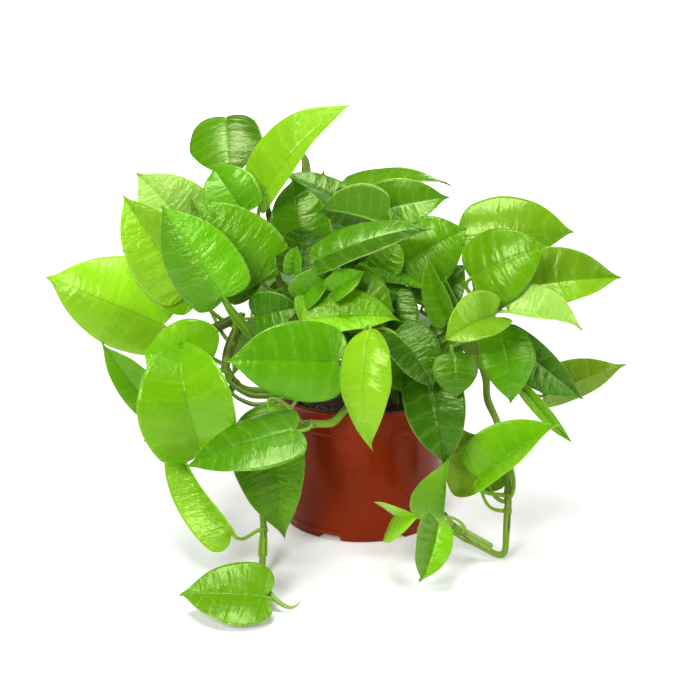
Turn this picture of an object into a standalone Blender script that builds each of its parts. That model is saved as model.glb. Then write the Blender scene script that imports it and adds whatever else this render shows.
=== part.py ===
# Pothos in a six-inch plastic nursery pot: one pot, the soil in it, nine vines and their leaves.
# Metres, +Z up. The origin is the centre of the pot's underside; the plant's front faces -Y.
import math

import bmesh
import bpy
import numpy as np

CM = 0.01                     # the plant's tables are in centimetres

# Pot: a turned wall with a deep rim band, standing on a foot cut by drain notches
RIM_RADIUS = 0.077
BAND_FOOT_RADIUS = 0.076      # the rim band where it meets the wall
WALL_TOP_RADIUS = 0.0745
BASE_RADIUS = 0.072
POT_HEIGHT = 0.115
BAND_FOOT_HEIGHT = 0.094
RIDGE_HEIGHT = 0.0075
WALL = 0.0018
FLOOR_THICKNESS = 0.003
NOTCH_COUNT = 8
NOTCH_WIDTH = 0.020
NOTCH_HEIGHT = 0.0045
NOTCH_DEPTH = 0.010
POT_SEGMENTS = 48

# Soil: one tapered plug, clear of the wall all round
GAP = 0.0003
SOIL_TOP = 0.1055
SOIL_FOOT = 0.0052
SOIL_SEGMENTS = 32

# Vines and leaf stalks
VINE_RADIUS = 0.0031
VINE_TIP_RADIUS = 0.0022
VINE_SIDES = 7
VINE_STEPS = 3                # rings between two points of a vine
STALK_RADIUS = 0.0017
STALK_SIDES = 6
STALK_STEPS = 5
STALK_GAP = 0.0005            # between a vine's surface and the foot of a stalk
STALK_REACH = 0.014           # how far a stalk runs straight out of the vine
STALK_BACKSET = 0.018         # how far it runs in line with the leaf's midrib

# Leaf blades
BLADE_THICKNESS = 0.0009
# Half a heart-shaped blade: (half widths out, lengths along, where its side vein leaves the midrib)
MARGIN = ((0.30, -0.095, 0.03), (0.78, -0.045, 0.10), (1.00, 0.20, 0.22), (0.93, 0.45, 0.41),
          (0.68, 0.71, 0.63), (0.34, 0.89, 0.83))

GREENS = {
    "lime": (0.36, 0.62, 0.05),
    "bright": (0.25, 0.52, 0.02),
    "green": (0.16, 0.38, 0.02),
    "deep": (0.07, 0.22, 0.01),
    "olive": (0.22, 0.30, 0.04),
}

# Each vine climbs out of the soil and runs through these points
VINES = {
    "vine_left": ((-4.5, -2.5, 10.6), (-4.6, -2.6, 11.6), (-6.2, -3.6, 12.6), (-8.4, -4.3, 12.4),
                  (-10.3, -4.4, 12.9), (-11.3, -4.0, 14.6), (-10.6, -3.4, 16.7), (-10.0, -2.4, 18.6)),
    "vine_top_left": ((-2.0, 0.5, 10.6), (-2.1, 0.5, 11.6), (-3.7, 0.3, 14.0), (-5.3, 0.0, 16.5),
                      (-6.9, 0.5, 20.0), (-7.7, 1.2, 23.3), (-8.0, 2.2, 26.3)),
    "vine_centre": ((0.5, 2.0, 10.6), (0.5, 2.0, 11.6), (0.3, 1.7, 16.1), (-0.1, 1.8, 19.6),
                    (-0.3, 1.9, 23.1), (0.0, 2.0, 25.0)),
    "vine_back": ((-0.5, 4.5, 10.6), (-0.5, 4.5, 11.6), (-1.0, 6.0, 14.5), (-1.5, 7.6, 17.5),
                  (-1.0, 8.6, 20.5)),
    "vine_right_high": ((3.0, -1.5, 10.6), (3.0, -1.5, 11.6), (4.8, -2.4, 13.0), (6.5, -2.8, 14.7),
                        (8.5, -3.3, 17.4), (10.3, -3.6, 18.9), (11.0, -3.0, 20.2)),
    "vine_right": ((4.4, 1.2, 10.6), (4.5, 1.2, 11.6), (6.5, 0.8, 14.0), (9.0, -0.2, 15.2),
                   (11.2, -1.4, 15.8)),
    "vine_right_trailing": ((5.0, -3.4, 10.6), (5.1, -3.5, 11.6), (7.2, -4.4, 14.2),
                            (9.2, -4.8, 15.3), (10.1, -4.9, 13.9), (10.3, -5.2, 12.0),
                            (11.0, -6.0, 10.4), (11.7, -7.2, 8.3), (11.8, -8.4, 4.8),
                            (11.6, -9.6, 2.2), (11.3, -10.3, 0.55), (9.9, -10.6, 1.1),
                            (7.8, -11.0, 2.8), (7.1, -11.1, 3.4)),
    "vine_left_trailing": ((0.3, -5.3, 10.6), (0.2, -5.4, 11.4), (-0.5, -6.6, 12.2),
                           (-1.4, -7.8, 11.9), (-2.4, -8.5, 11.1), (-3.8, -8.6, 11.0),
                           (-5.3, -8.4, 10.8), (-7.0, -8.2, 9.3), (-7.9, -8.3, 7.0),
                           (-8.1, -9.2, 4.4), (-7.9, -10.8, 2.9), (-7.9, -12.2, 1.4),
                           (-7.8, -13.3, 0.42), (-7.4, -15.0, 0.36), (-7.1, -16.4, 0.4)),
    "vine_front": ((-0.8, -3.0, 10.6), (-0.8, -3.0, 11.6), (-1.0, -4.4, 14.4), (-1.4, -5.2, 17.0),
                   (-1.2, -5.2, 19.0)),
}

# Leaves: name, vine, point along the vine, base of the blade, its tip, (azimuth, elevation) that the
# upper side faces, width, arch of the midrib, (left, right) rise of the halves, curl, green
LEAVES = (
    ("leaf_far_left", "vine_left", 5.0, (-17.6, 0.6, 16.3), (-27.1, -0.4, 21.2),
     (-15, 28), 6.8, 0.7, (10, 10), 10, "lime"),
    ("leaf_top_heart", "vine_top_left", 6.0, (-11.7, 7.5, 34.0), (-10.5, 2.8, 28.6),
     (-10, 55), 7.0, 0.5, (5, 5), 10, "green"),
    ("leaf_top_long", "vine_top_left", 5.5, (-8.4, 1.5, 27.9), (-1.1, 2.0, 35.6),
     (-38, 18), 5.7, 1.1, (10, 12), 15, "lime"),
    ("leaf_upper_left_back", "vine_top_left", 4.6, (-13.9, 1.2, 24.2), (-19.1, 1.4, 29.9),
     (-15, 40), 5.8, 0.8, (10, 10), 10, "lime"),
    ("leaf_upper_left_middle", "vine_left", 6.4, (-14.4, -2.8, 20.8), (-19.5, -2.4, 28.5),
     (-15, 25), 6.2, 0.6, (10, 10), 15, "bright"),
    ("leaf_left_under", "vine_left", 5.8, (-13.9, -1.6, 20.2), (-20.1, -1.0, 23.7),
     (0, 25), 5.4, 0.3, (10, 10), 10, "deep"),
    ("leaf_upper_left_front", "vine_left", 6.2, (-11.0, -6.0, 20.7), (-15.9, -5.0, 28.0),
     (-5, 20), 5.6, 0.4, (18, 18), 10, "bright"),
    ("leaf_upper_left_glossy", "vine_top_left", 4.0, (-8.4, -1.2, 20.9), (-14.4, -0.8, 28.0),
     (0, 15), 7.6, 0.5, (0, 8), 6, "green"),
    ("leaf_centre_dark", "vine_centre", 4.2, (-5.0, 1.0, 23.5), (-5.9, 3.0, 29.3),
     (0, 15), 5.2, 0.5, (12, 12), 10, "deep"),
    ("leaf_top_right_flat", "vine_centre", 5.0, (-1.5, 5.0, 28.2), (7.5, 3.5, 29.1),
     (0, 80), 5.4, 0.2, (8, 8), 10, "green"),
    ("leaf_turned_away", "vine_centre", 4.3, (1.5, -2.2, 26.1), (-3.7, -2.0, 27.2),
     (170, 20), 5.4, 0.5, (12, 22), 10, "olive"),
    ("leaf_centre_right_back", "vine_centre", 3.8, (0.8, 1.0, 26.6), (7.3, 0.0, 28.0),
     (-5, 20), 4.6, 0.4, (10, 10), 10, "green"),
    ("leaf_centre_glossy", "vine_front", 4.0, (-4.0, -4.8, 23.3), (5.7, -5.0, 26.2),
     (0, 68), 5.6, 0.4, (5, 10), 10, "green"),
    ("leaf_centre_right", "vine_right_high", 4.4, (3.5, -1.9, 22.8), (8.7, -1.6, 25.6),
     (0, 25), 6.0, 0.4, (5, 5), 6, "green"),
    ("leaf_right_high_back", "vine_right_high", 6.0, (9.6, 3.5, 23.6), (18.9, 2.5, 24.7),
     (0, 25), 7.0, 0.6, (10, 10), 10, "lime"),
    ("leaf_right_high_front", "vine_right_high", 5.3, (8.7, -4.2, 21.9), (14.6, -5.6, 24.9),
     (-5, 25), 6.2, 0.6, (5, 8), 12, "bright"),
    ("leaf_far_right", "vine_right_high", 5.6, (12.5, -2.2, 20.5), (21.2, -2.6, 22.2),
     (0, 42), 6.0, 0.6, (10, 10), 15, "olive"),
    ("leaf_right_folded", "vine_right_high", 5.0, (11.5, -6.0, 19.6), (17.4, -7.0, 18.5),
     (5, 38), 4.8, 0.5, (10, 50), 10, "lime"),
    ("leaf_right_heart", "vine_right_high", 4.8, (10.0, -7.2, 19.4), (6.0, -9.8, 18.1),
     (0, 32), 4.6, 0.6, (10, 10), 15, "lime"),
    ("leaf_right_hanging", "vine_right_high", 4.6, (11.2, -6.0, 17.6), (11.9, -7.5, 12.2),
     (10, 30), 4.6, 0.7, (12, 12), 15, "bright"),
    ("leaf_right_dark", "vine_right", 3.6, (12.0, -2.5, 16.7), (18.8, -3.0, 11.2),
     (0, 15), 4.5, 0.3, (10, 10), 10, "deep"),
    ("leaf_right_underside", "vine_right", 3.8, (15.7, -2.0, 11.7), (22.8, -1.0, 13.7),
     (170, 0), 4.0, 0.3, (12, 12), 15, "olive"),
    ("leaf_front_striped", "vine_front", 3.4, (2.5, -8.2, 18.3), (5.4, -10.4, 14.3),
     (20, 30), 4.6, 0.7, (5, 15), 15, "deep"),
    ("leaf_front_small_heart", "vine_right_trailing", 2.2, (6.8, -9.8, 17.2), (7.0, -10.6, 13.7),
     (0, 25), 3.6, 0.5, (10, 10), 10, "bright"),
    ("leaf_front_dark_hanging", "vine_right_trailing", 1.6, (5.1, -8.3, 15.0), (6.5, -10.4, 8.1),
     (0, 15), 5.0, 0.7, (15, 15), 10, "deep"),
    ("leaf_trailing_right_wide", "vine_right_trailing", 8.0, (9.2, -9.0, 6.5), (15.5, -8.5, 11.1),
     (-15, 30), 5.8, 0.6, (8, 55), 15, "bright"),
    ("leaf_trailing_right_back", "vine_right_trailing", 8.4, (9.7, -8.0, 5.1), (7.9, -8.0, 10.5),
     (170, 10), 4.2, 0.5, (10, 10), 10, "olive"),
    ("leaf_trailing_right_folded", "vine_right_trailing", 11.4, (6.4, -9.6, 3.4), (6.5, -11.0, 9.0),
     (-12, 20), 5.2, 0.6, (8, 5), 12, "bright"),
    ("leaf_trailing_right_young", "vine_right_trailing", 13.0, (2.4, -12.2, 4.8), (4.1, -14.5, 5.8),
     (-20, 10), 4.2, 0.5, (10, 10), 20, "lime"),
    ("leaf_trailing_right_low", "vine_right_trailing", 12.0, (5.7, -13.4, 4.5), (5.0, -15.6, 0.9),
     (15, 25), 3.6, 0.5, (20, 20), 10, "lime"),
    ("leaf_front_wide", "vine_front", 2.4, (-2.0, -9.5, 16.4), (-10.5, -11.0, 16.9),
     (-10, 20), 6.2, 0.3, (8, 8), 10, "bright"),
    ("leaf_front_lime", "vine_front", 2.8, (0.8, -10.6, 18.3), (0.7, -12.3, 10.1),
     (-32, 20), 4.5, 1.2, (8, 20), 15, "lime"),
    ("leaf_front_level", "vine_front", 3.7, (-5.0, -6.5, 18.9), (2.6, -6.8, 19.4),
     (0, 60), 4.4, 0.5, (5, 5), 10, "lime"),
    ("leaf_left_behind", "vine_left", 4.4, (-12.6, -5.2, 14.8), (-18.1, -4.8, 15.9),
     (-10, 25), 7.2, 0.4, (10, 10), 10, "olive"),
    ("leaf_left_big", "vine_left_trailing", 7.2, (-12.8, -9.0, 9.3), (-14.6, -5.2, 17.2),
     (-5, 32), 7.4, 3.0, (10, 10), 15, "bright"),
    ("leaf_left_low", "vine_left", 4.1, (-17.2, -4.0, 10.4), (-21.6, -4.0, 16.5),
     (-10, 20), 4.0, 0.5, (12, 12), 10, "green"),
    ("leaf_left_level", "vine_left_trailing", 5.2, (-5.1, -12.6, 12.0), (-13.4, -14.2, 9.6),
     (0, 76), 6.0, 0.3, (-18, -18), 5, "green"),
    ("leaf_left_hanging", "vine_left_trailing", 5.8, (-7.3, -8.0, 11.8), (-6.2, -10.8, 1.8),
     (5, 10), 5.8, 0.8, (10, 12), 10, "green"),
    ("leaf_left_lower", "vine_left_trailing", 10.0, (-9.8, -12.0, 3.2), (-14.9, -10.5, 9.1),
     (-5, 20), 4.8, 0.6, (10, 65), 10, "bright"),
    ("leaf_on_the_ground", "vine_left_trailing", 14.0, (-7.2, -18.2, 1.25), (-13.3, -18.4, 1.5),
     (0, 62), 5.6, 0.2, (4, 4), 8, "bright"),
    ("leaf_back_left", "vine_back", 3.4, (-5.0, 8.6, 18.5), (-11.0, 12.5, 15.0),
     (200, 45), 6.4, 0.8, (10, 10), 10, "bright"),
    ("leaf_back_right", "vine_back", 3.8, (2.5, 9.0, 20.5), (8.0, 13.0, 18.0),
     (160, 50), 6.4, 0.8, (10, 10), 10, "lime"),
    ("leaf_back_middle", "vine_back", 4.0, (-1.6, 11.0, 21.5), (-2.2, 17.0, 17.5),
     (180, 40), 6.8, 1.0, (10, 10), 12, "bright"),
    ("leaf_back_left_low", "vine_back", 2.4, (-7.0, 6.0, 15.0), (-12.5, 8.5, 10.0),
     (200, 25), 6.0, 0.6, (10, 10), 10, "green"),
    ("leaf_back_right_low", "vine_back", 2.6, (6.5, 7.0, 16.5), (12.0, 10.0, 11.5),
     (160, 25), 6.0, 0.6, (10, 10), 10, "green"),
    ("leaf_back_hanging", "vine_back", 2.0, (0.3, 9.0, 13.6), (0.8, 12.0, 6.8),
     (178, 20), 6.0, 0.8, (10, 10), 10, "lime"),
    ("leaf_back_upright", "vine_back", 3.6, (-3.9, 6.8, 22.5), (-3.4, 7.6, 29.5),
     (185, 10), 5.6, 0.5, (12, 12), 10, "green"),
)


def clear_scene():
    for item in list(bpy.data.objects):
        bpy.data.objects.remove(item, do_unlink=True)


def make_material(name, color, roughness, metallic=0.0):
    material = bpy.data.materials.new(name)
    material.use_nodes = True
    shader = material.node_tree.nodes["Principled BSDF"]
    shader.inputs["Base Color"].default_value = (*color, 1.0)
    shader.inputs["Roughness"].default_value = roughness
    shader.inputs["Metallic"].default_value = metallic
    return material


def add_object(name, points, faces, material):
    mesh = bpy.data.meshes.new(name)
    mesh.from_pydata([tuple(map(float, point)) for point in points], [], faces)
    mesh.materials.append(material)
    mesh.shade_smooth()
    mesh.set_sharp_from_angle(angle=math.radians(50))
    item = bpy.data.objects.new(name, mesh)
    bpy.context.collection.objects.link(item)
    return item


def turned(name, profile, segments, material):
    # A closed (radius, height) outline turned about Z; the outline runs clockwise seen with +X right
    points, faces = [], []
    for step in range(segments):
        angle = 2 * math.pi * step / segments
        points += [(r * math.cos(angle), r * math.sin(angle), z) for r, z in profile if r > 0]
    ring = len([1 for r, z in profile if r > 0])
    poles = [z for r, z in profile if r == 0]
    for step in range(segments):
        here, there = step * ring, (step + 1) % segments * ring
        for i in range(ring - 1):
            faces.append((here + i, there + i, there + i + 1, here + i + 1))
    first, last = len(points), len(points) + 1
    points += [(0.0, 0.0, poles[0]), (0.0, 0.0, poles[1])]
    for step in range(segments):
        here, there = step * ring, (step + 1) % segments * ring
        faces.append((first, there, here))
        faces.append((last, here + ring - 1, there + ring - 1))
    return add_object(name, points, faces, material)


def make_pot(material):
    # Outside wall, ridge and band going up, then the rim, the inside wall and the floor
    inside_top = RIM_RADIUS - WALL
    inside_foot = BASE_RADIUS - WALL
    profile = (
        (0, 0), (BASE_RADIUS - 0.0008, 0), (BASE_RADIUS, 0.0008),
        (BASE_RADIUS + 0.0002, RIDGE_HEIGHT - 0.0007), (BASE_RADIUS + 0.0007, RIDGE_HEIGHT),
        (BASE_RADIUS + 0.0002, RIDGE_HEIGHT + 0.0007), (WALL_TOP_RADIUS, BAND_FOOT_HEIGHT - 0.0004),
        (BAND_FOOT_RADIUS, BAND_FOOT_HEIGHT + 0.0008), (RIM_RADIUS - 0.0006, POT_HEIGHT - 0.0016),
        (RIM_RADIUS, POT_HEIGHT - 0.0007), (RIM_RADIUS - 0.0004, POT_HEIGHT),
        (inside_top, POT_HEIGHT - 0.0004), (WALL_TOP_RADIUS - WALL, BAND_FOOT_HEIGHT - 0.001),
        (inside_foot, FLOOR_THICKNESS), (0, FLOOR_THICKNESS))
    pot = turned("pot", profile, POT_SEGMENTS, material)
    for step in range(NOTCH_COUNT):
        cut_notch(pot, 2 * math.pi * (step + 0.5) / NOTCH_COUNT)
    return pot


def cut_notch(pot, angle):
    # A block across the foot, which opens a drain slot at the edge of the floor
    cutter_mesh = bpy.data.meshes.new("notch_cutter")
    shape = bmesh.new()
    bmesh.ops.create_cube(shape, size=1.0)
    reach = NOTCH_DEPTH + 0.01
    bmesh.ops.scale(shape, verts=shape.verts, vec=(reach, NOTCH_WIDTH, 2 * NOTCH_HEIGHT))
    shape.to_mesh(cutter_mesh)
    shape.free()
    cutter = bpy.data.objects.new("notch_cutter", cutter_mesh)
    bpy.context.collection.objects.link(cutter)
    middle = BASE_RADIUS - NOTCH_DEPTH + reach / 2
    cutter.location = (middle * math.cos(angle), middle * math.sin(angle), 0.0)
    cutter.rotation_euler = (0.0, 0.0, angle)
    cutter.hide_render = True
    cutter.display_type = "WIRE"
    cut = pot.modifiers.new("drain_notch", "BOOLEAN")
    cut.operation = "DIFFERENCE"
    cut.solver = "EXACT"
    cut.object = cutter


def make_soil(material):
    foot = BASE_RADIUS - WALL - 2 * GAP
    top = foot + (WALL_TOP_RADIUS - BASE_RADIUS) * (SOIL_TOP - 0.012) / BAND_FOOT_HEIGHT
    profile = ((0, SOIL_FOOT), (foot - 0.002, SOIL_FOOT), (foot, SOIL_FOOT + 0.002),
               (top, SOIL_TOP - 0.002), (top - 0.002, SOIL_TOP), (0, SOIL_TOP))
    return turned("soil", profile, SOIL_SEGMENTS, material)


def smooth_route(points, steps):
    # Catmull-Rom curve through the points, with that many steps between each two
    route = np.array(points, float)
    padded = np.vstack([2 * route[0] - route[1], route, 2 * route[-1] - route[-2]])
    place = np.linspace(0, len(route) - 1, (len(route) - 1) * steps + 1)
    return route_at(padded, place)


def route_at(padded, place):
    index = np.clip(place.astype(int), 0, len(padded) - 4)
    t = (place - index)[:, None]
    a, b, c, d = (padded[index + k] for k in range(4))
    return 0.5 * (2 * b + (c - a) * t + (2 * a - 5 * b + 4 * c - d) * t ** 2
                  + (3 * b - a - 3 * c + d) * t ** 3)


def unit(vector):
    return vector / np.linalg.norm(vector, axis=-1, keepdims=True)


def tube(route, radii, sides, start_direction):
    # A capped tube; each ring is turned from the one before by the least that follows the route
    tangents = unit(np.gradient(route, axis=0))
    tangents[0] = start_direction
    side = np.cross(tangents[0], (0.0, 1.0, 0.0))
    if np.linalg.norm(side) < 0.1:
        side = np.cross(tangents[0], (1.0, 0.0, 0.0))
    points, faces = [], []
    for centre, tangent, radius in zip(route, tangents, radii):
        side = unit(side - tangent * (side @ tangent))
        up = np.cross(tangent, side)
        for k in range(sides):
            angle = 2 * math.pi * k / sides
            points.append(centre + radius * (math.cos(angle) * side + math.sin(angle) * up))
    for i in range(len(route) - 1):
        for k in range(sides):
            a, b = i * sides + k, i * sides + (k + 1) % sides
            faces.append((a, b, b + sides, a + sides))
    faces.append(tuple(reversed(range(sides))))
    faces.append(tuple(range(len(points) - sides, len(points))))
    return points, faces


def vine_radius(place, count):
    # Thins evenly from the soil to the growing end
    return VINE_RADIUS + (VINE_TIP_RADIUS - VINE_RADIUS) * place / (count - 1)


def make_vine(name, points, material):
    points = np.array(points) * CM
    points[0][2] = SOIL_TOP + GAP
    route = smooth_route(points, VINE_STEPS)
    count = len(points)
    radii = [vine_radius(place, count) for place in np.linspace(0, count - 1, len(route))]
    return add_object(name, *tube(route, radii, VINE_SIDES, np.array((0.0, 0.0, 1.0))), material)


def blade_frame(base, tip, facing):
    # Along the blade, across it to the right, and out of its upper side
    along = unit(tip - base)
    azimuth, elevation = map(math.radians, facing)
    out = np.array((math.sin(azimuth) * math.cos(elevation),
                    -math.cos(azimuth) * math.cos(elevation), math.sin(elevation)))
    out = unit(out - along * (out @ along))
    return along, np.cross(along, out), out


def blade_point(leaf, across, along):
    # The flat blade is bent into an arch along its midrib, and each half rises by its own angle
    # and curls further toward the margin
    base, tip, facing, width, arch, rises, curl = leaf
    length = np.linalg.norm(tip - base)
    ahead, right, out = blade_frame(base, tip, facing)
    slope = arch * 4 * (1 - 2 * along) / length
    centre = base + along * length * ahead + arch * 4 * along * (1 - along) * out
    normal = unit(out - slope * ahead)
    rise = math.radians(rises[0] if across < 0 else rises[1])
    bend = math.radians(curl)
    spread = abs(across)
    sideways = (math.sin(rise + bend * spread) - math.sin(rise)) / bend * width / 2
    upward = (math.cos(rise) - math.cos(rise + bend * spread)) / bend * width / 2
    return centre + math.copysign(sideways, across) * right + upward * normal, normal


def blade(leaf):
    # Two skins over ribs that follow the side veins, closed along the margin
    columns = (-1.0, -0.5, 0.0, 0.5, 1.0)
    grid = [[blade_point(leaf, 0.0, 0.0)]]
    for out, along, vein in MARGIN:
        grid.append([blade_point(leaf, column * out, vein + (along - vein) * abs(column))
                     for column in columns])
    grid.append([blade_point(leaf, 0.0, 1.0)])
    half = BLADE_THICKNESS / 2
    points, rows = [], []
    for row in grid:
        rows.append([(len(points) + 2 * k, len(points) + 2 * k + 1) for k in range(len(row))])
        for point, normal in row:
            points += [point + normal * half, point - normal * half]
    faces = []
    last = len(columns) - 1
    for row, after in zip(rows, rows[1:]):
        for k in range(last):
            strip(faces, row, after, k)
        edge(faces, row[0], after[0], False)
        edge(faces, row[-1], after[-1], True)
    return points, faces


def strip(faces, row, after, k):
    # One cell between two ribs, on both skins; a rib that is a single point gives triangles
    a, b = (row[0], row[0]) if len(row) == 1 else (row[k], row[k + 1])
    d, c = (after[0], after[0]) if len(after) == 1 else (after[k], after[k + 1])
    for skin in (0, 1):
        corners = [a[skin], b[skin], c[skin], d[skin]]
        corners = [corner for i, corner in enumerate(corners) if corner not in corners[:i]]
        middle = len(corners) > 3
        if skin:
            corners.reverse()
        faces += [tuple(corners[:3]), (corners[0], *corners[2:])] if middle else [tuple(corners)]


def edge(faces, here, there, right):
    # The narrow wall between the two skins along one margin
    loop = (here[0], here[1], there[1], there[0])
    loop = loop if right else tuple(reversed(loop))
    faces += [loop[:3], (loop[0], loop[2], loop[3])]


def stalk_route(leaf, vine_points, place):
    # Out of the vine at a right angle, or on from its end, then round into line with the midrib
    route = np.array(vine_points) * CM
    padded = np.vstack([2 * route[0] - route[1], route, 2 * route[-1] - route[-2]])
    last = len(route) - 1
    around = np.array((place, min(place + 1 / VINE_STEPS, last), place - 1 / VINE_STEPS))
    at, after, before = route_at(padded, around)
    base = leaf[0]
    along, _, out = blade_frame(*leaf[:3])
    tangent = unit(after - before)
    leave = (base - along * STALK_BACKSET) - at
    leave = unit(leave - tangent * (leave @ tangent))
    clear = vine_radius(place, len(route)) + STALK_GAP
    if place == last:
        leave, clear = tangent, STALK_GAP
    start = at + leave * clear
    end, normal = blade_point(leaf, 0.0, 0.05)
    end = end - normal * BLADE_THICKNESS / 2
    reach = min(STALK_REACH, 0.4 * np.linalg.norm(end - start))
    first, second = start + leave * reach, end - (along + 0.35 * out) * min(STALK_BACKSET, 2 * reach)
    t = np.linspace(0, 1, STALK_STEPS + 1)[:, None]
    route = (start * (1 - t) ** 3 + first * 3 * t * (1 - t) ** 2 + second * 3 * t ** 2 * (1 - t)
             + end * t ** 3)
    return route, leave


def make_leaf(name, vine, place, base, tip, facing, width, arch, rises, curl, green, materials):
    leaf = (np.array(base) * CM, np.array(tip) * CM, facing, width * CM, arch * CM, rises, curl)
    item = add_object(name, *blade(leaf), materials[green])
    route, leave = stalk_route(leaf, VINES[vine], place)
    radii = np.linspace(STALK_RADIUS * 1.15, STALK_RADIUS, len(route))
    stalk = add_object(name + "_stalk", *tube(route, radii, STALK_SIDES, leave), materials[green])
    join(item, stalk)
    return item


def join(item, other):
    # Leaf and stalk are one grown piece
    union = item.modifiers.new("stalk", "BOOLEAN")
    union.operation = "UNION"
    union.solver = "EXACT"
    union.object = other
    other.hide_render = True
    other.display_type = "WIRE"


def main():
    clear_scene()
    make_pot(make_material("pot_plastic", (0.28, 0.045, 0.02), 0.3))
    make_soil(make_material("peat", (0.02, 0.012, 0.008), 0.95))
    stem = make_material("stem_green", (0.22, 0.42, 0.05), 0.4)
    for name, points in VINES.items():
        make_vine(name, points, stem)
    materials = {name: make_material("leaf_" + name, color, 0.35) for name, color in GREENS.items()}
    for row in LEAVES:
        make_leaf(*row, materials)


main()
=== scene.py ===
import math
import bpy
import numpy as np
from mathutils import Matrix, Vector


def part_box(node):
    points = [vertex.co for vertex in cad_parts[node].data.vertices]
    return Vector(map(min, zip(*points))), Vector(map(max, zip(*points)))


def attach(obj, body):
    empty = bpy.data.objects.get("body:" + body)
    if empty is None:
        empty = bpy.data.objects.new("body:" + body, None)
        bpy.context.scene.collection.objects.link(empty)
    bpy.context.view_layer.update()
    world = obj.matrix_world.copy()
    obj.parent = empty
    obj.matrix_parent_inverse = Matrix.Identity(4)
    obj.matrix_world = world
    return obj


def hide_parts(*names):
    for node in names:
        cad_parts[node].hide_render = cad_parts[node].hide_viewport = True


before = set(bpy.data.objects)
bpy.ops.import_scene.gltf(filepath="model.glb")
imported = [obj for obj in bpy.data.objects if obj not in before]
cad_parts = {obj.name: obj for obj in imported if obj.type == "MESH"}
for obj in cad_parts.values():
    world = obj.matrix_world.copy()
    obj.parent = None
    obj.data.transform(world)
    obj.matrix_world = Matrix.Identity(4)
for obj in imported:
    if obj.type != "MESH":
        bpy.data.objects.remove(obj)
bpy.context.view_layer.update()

# Neon pothos in a nursery pot. The plant's tables are in centimetres and degrees, everything else
# is in metres.
cm = 0.01
roundTurn = 6.28     # top of every random angle, close to a full turn
print("frame loaded:", len(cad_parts), "nodes")


# Shared maths
def unit(v):
    # each vector over its own length
    return v / np.maximum(np.linalg.norm(v, axis=-1, keepdims=True), 1e-12)


def curveThrough(points, place):
    # Catmull-Rom: a cubic through four neighbours, read at any place between point 0 and the last
    points = np.asarray(points, float)
    padded = np.vstack([2 * points[0] - points[1], points, 2 * points[-1] - points[-2]])
    index = np.clip(np.asarray(place).astype(int), 0, len(points) - 2)
    t = (place - index)[:, None]
    a, b, c, d = (padded[index + k] for k in range(4))
    return 0.5 * (2 * b + (c - a) * t + (2 * a - 5 * b + 4 * c - d) * t ** 2
                  + (3 * b - a - 3 * c + d) * t ** 3)


def bump(x, centre, width):
    # a soft bell, one at its centre
    return np.exp(-((x - centre) / width) ** 2)


def ripple(points, seed, scale):
    # three crossed sine waves of different lengths, a cheap smooth noise from -1 to 1
    way = np.random.default_rng(seed).normal(size=(3, 3))
    phase = np.random.default_rng(seed + 1).uniform(0, roundTurn, 3)
    return np.sin(points @ way.T / scale + phase).mean(-1)


# Shared meshes
def ringFaces(rows, ring):
    # quads of a grid that closes on itself across, rows along
    i, j = np.meshgrid(np.arange(rows - 1), np.arange(ring), indexing="ij")
    k = (j + 1) % ring
    return np.stack([i * ring + j, i * ring + k, (i + 1) * ring + k, (i + 1) * ring + j], -1).reshape(-1, 4)


def ringSolid(grid):
    # a closed skin over rings of points: quads between rings and a fan over each end ring
    rows, ring = grid.shape[:2]
    points = np.vstack([grid.reshape(-1, 3), grid[0].mean(0), grid[-1].mean(0)])
    first, last = rows * ring, rows * ring + 1
    j = np.arange(ring)
    k = (j + 1) % ring
    caps = [(first, b, a) for a, b in zip(j, k)]
    caps += [(last, a + (rows - 1) * ring, b + (rows - 1) * ring) for a, b in zip(j, k)]
    return points, ringFaces(rows, ring).tolist() + caps


def ringUv(around, down):
    # one (around, down) pair for each point of ringSolid, its two end points last
    grid = np.column_stack([np.tile(around, len(down)), np.repeat(down, len(around))])
    return np.vstack([grid, (0, 0), (0, 1)])


def tubeGrid(route, radius, sides, flat=None, start=None):
    # circles carried along a route on a frame that turns as little as the route allows;
    # flat squeezes each circle along one of its own axes
    tangent = unit(np.gradient(route, axis=0))
    if start is not None:
        tangent[0] = start
    side = np.cross(tangent[0], (0.0, 1.0, 0.0))
    if np.linalg.norm(side) < 0.1:
        side = np.cross(tangent[0], (1.0, 0.0, 0.0))
    carried = []
    for t in tangent:
        side = unit(side - t * (side @ t))
        carried.append(side)
    side = np.array(carried)
    up = np.cross(tangent, side)
    turn = np.linspace(0, 2 * np.pi, sides, endpoint=False)
    if np.ndim(radius) < 2:
        radius = np.asarray(radius)[:, None]
    squeeze = 1.0 if flat is None else np.asarray(flat)[:, None]
    return (route[:, None] + (radius * np.cos(turn))[..., None] * side[:, None]
            + (radius * squeeze * np.sin(turn))[..., None] * up[:, None])


def newPiece(name, points, faces, materials, slots=None, paint=None, uv=None):
    # one mesh object from arrays, with a colour and a place-on-the-piece for each point
    mesh = bpy.data.meshes.new(name)
    mesh.from_pydata(np.asarray(points).tolist(), [], [tuple(f) for f in faces])
    for material in materials:
        mesh.materials.append(material)
    if slots is not None:
        mesh.polygons.foreach_set("material_index", np.asarray(slots, dtype=np.int32))
    if paint is not None:
        layer = mesh.color_attributes.new("tint", "FLOAT_COLOR", "POINT")
        colours = np.column_stack([paint, np.ones(len(paint))]).astype(np.float32)
        layer.data.foreach_set("color", colours.ravel())
    if uv is not None:
        corner = np.empty(len(mesh.loops), dtype=np.int32)
        mesh.loops.foreach_get("vertex_index", corner)
        layer = mesh.uv_layers.new(name="along")
        layer.data.foreach_set("uv", np.asarray(uv, dtype=np.float32)[corner].ravel())
    mesh.shade_smooth()
    mesh.update()
    piece = bpy.data.objects.new(name, mesh)
    bpy.context.scene.collection.objects.link(piece)
    return piece


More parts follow.
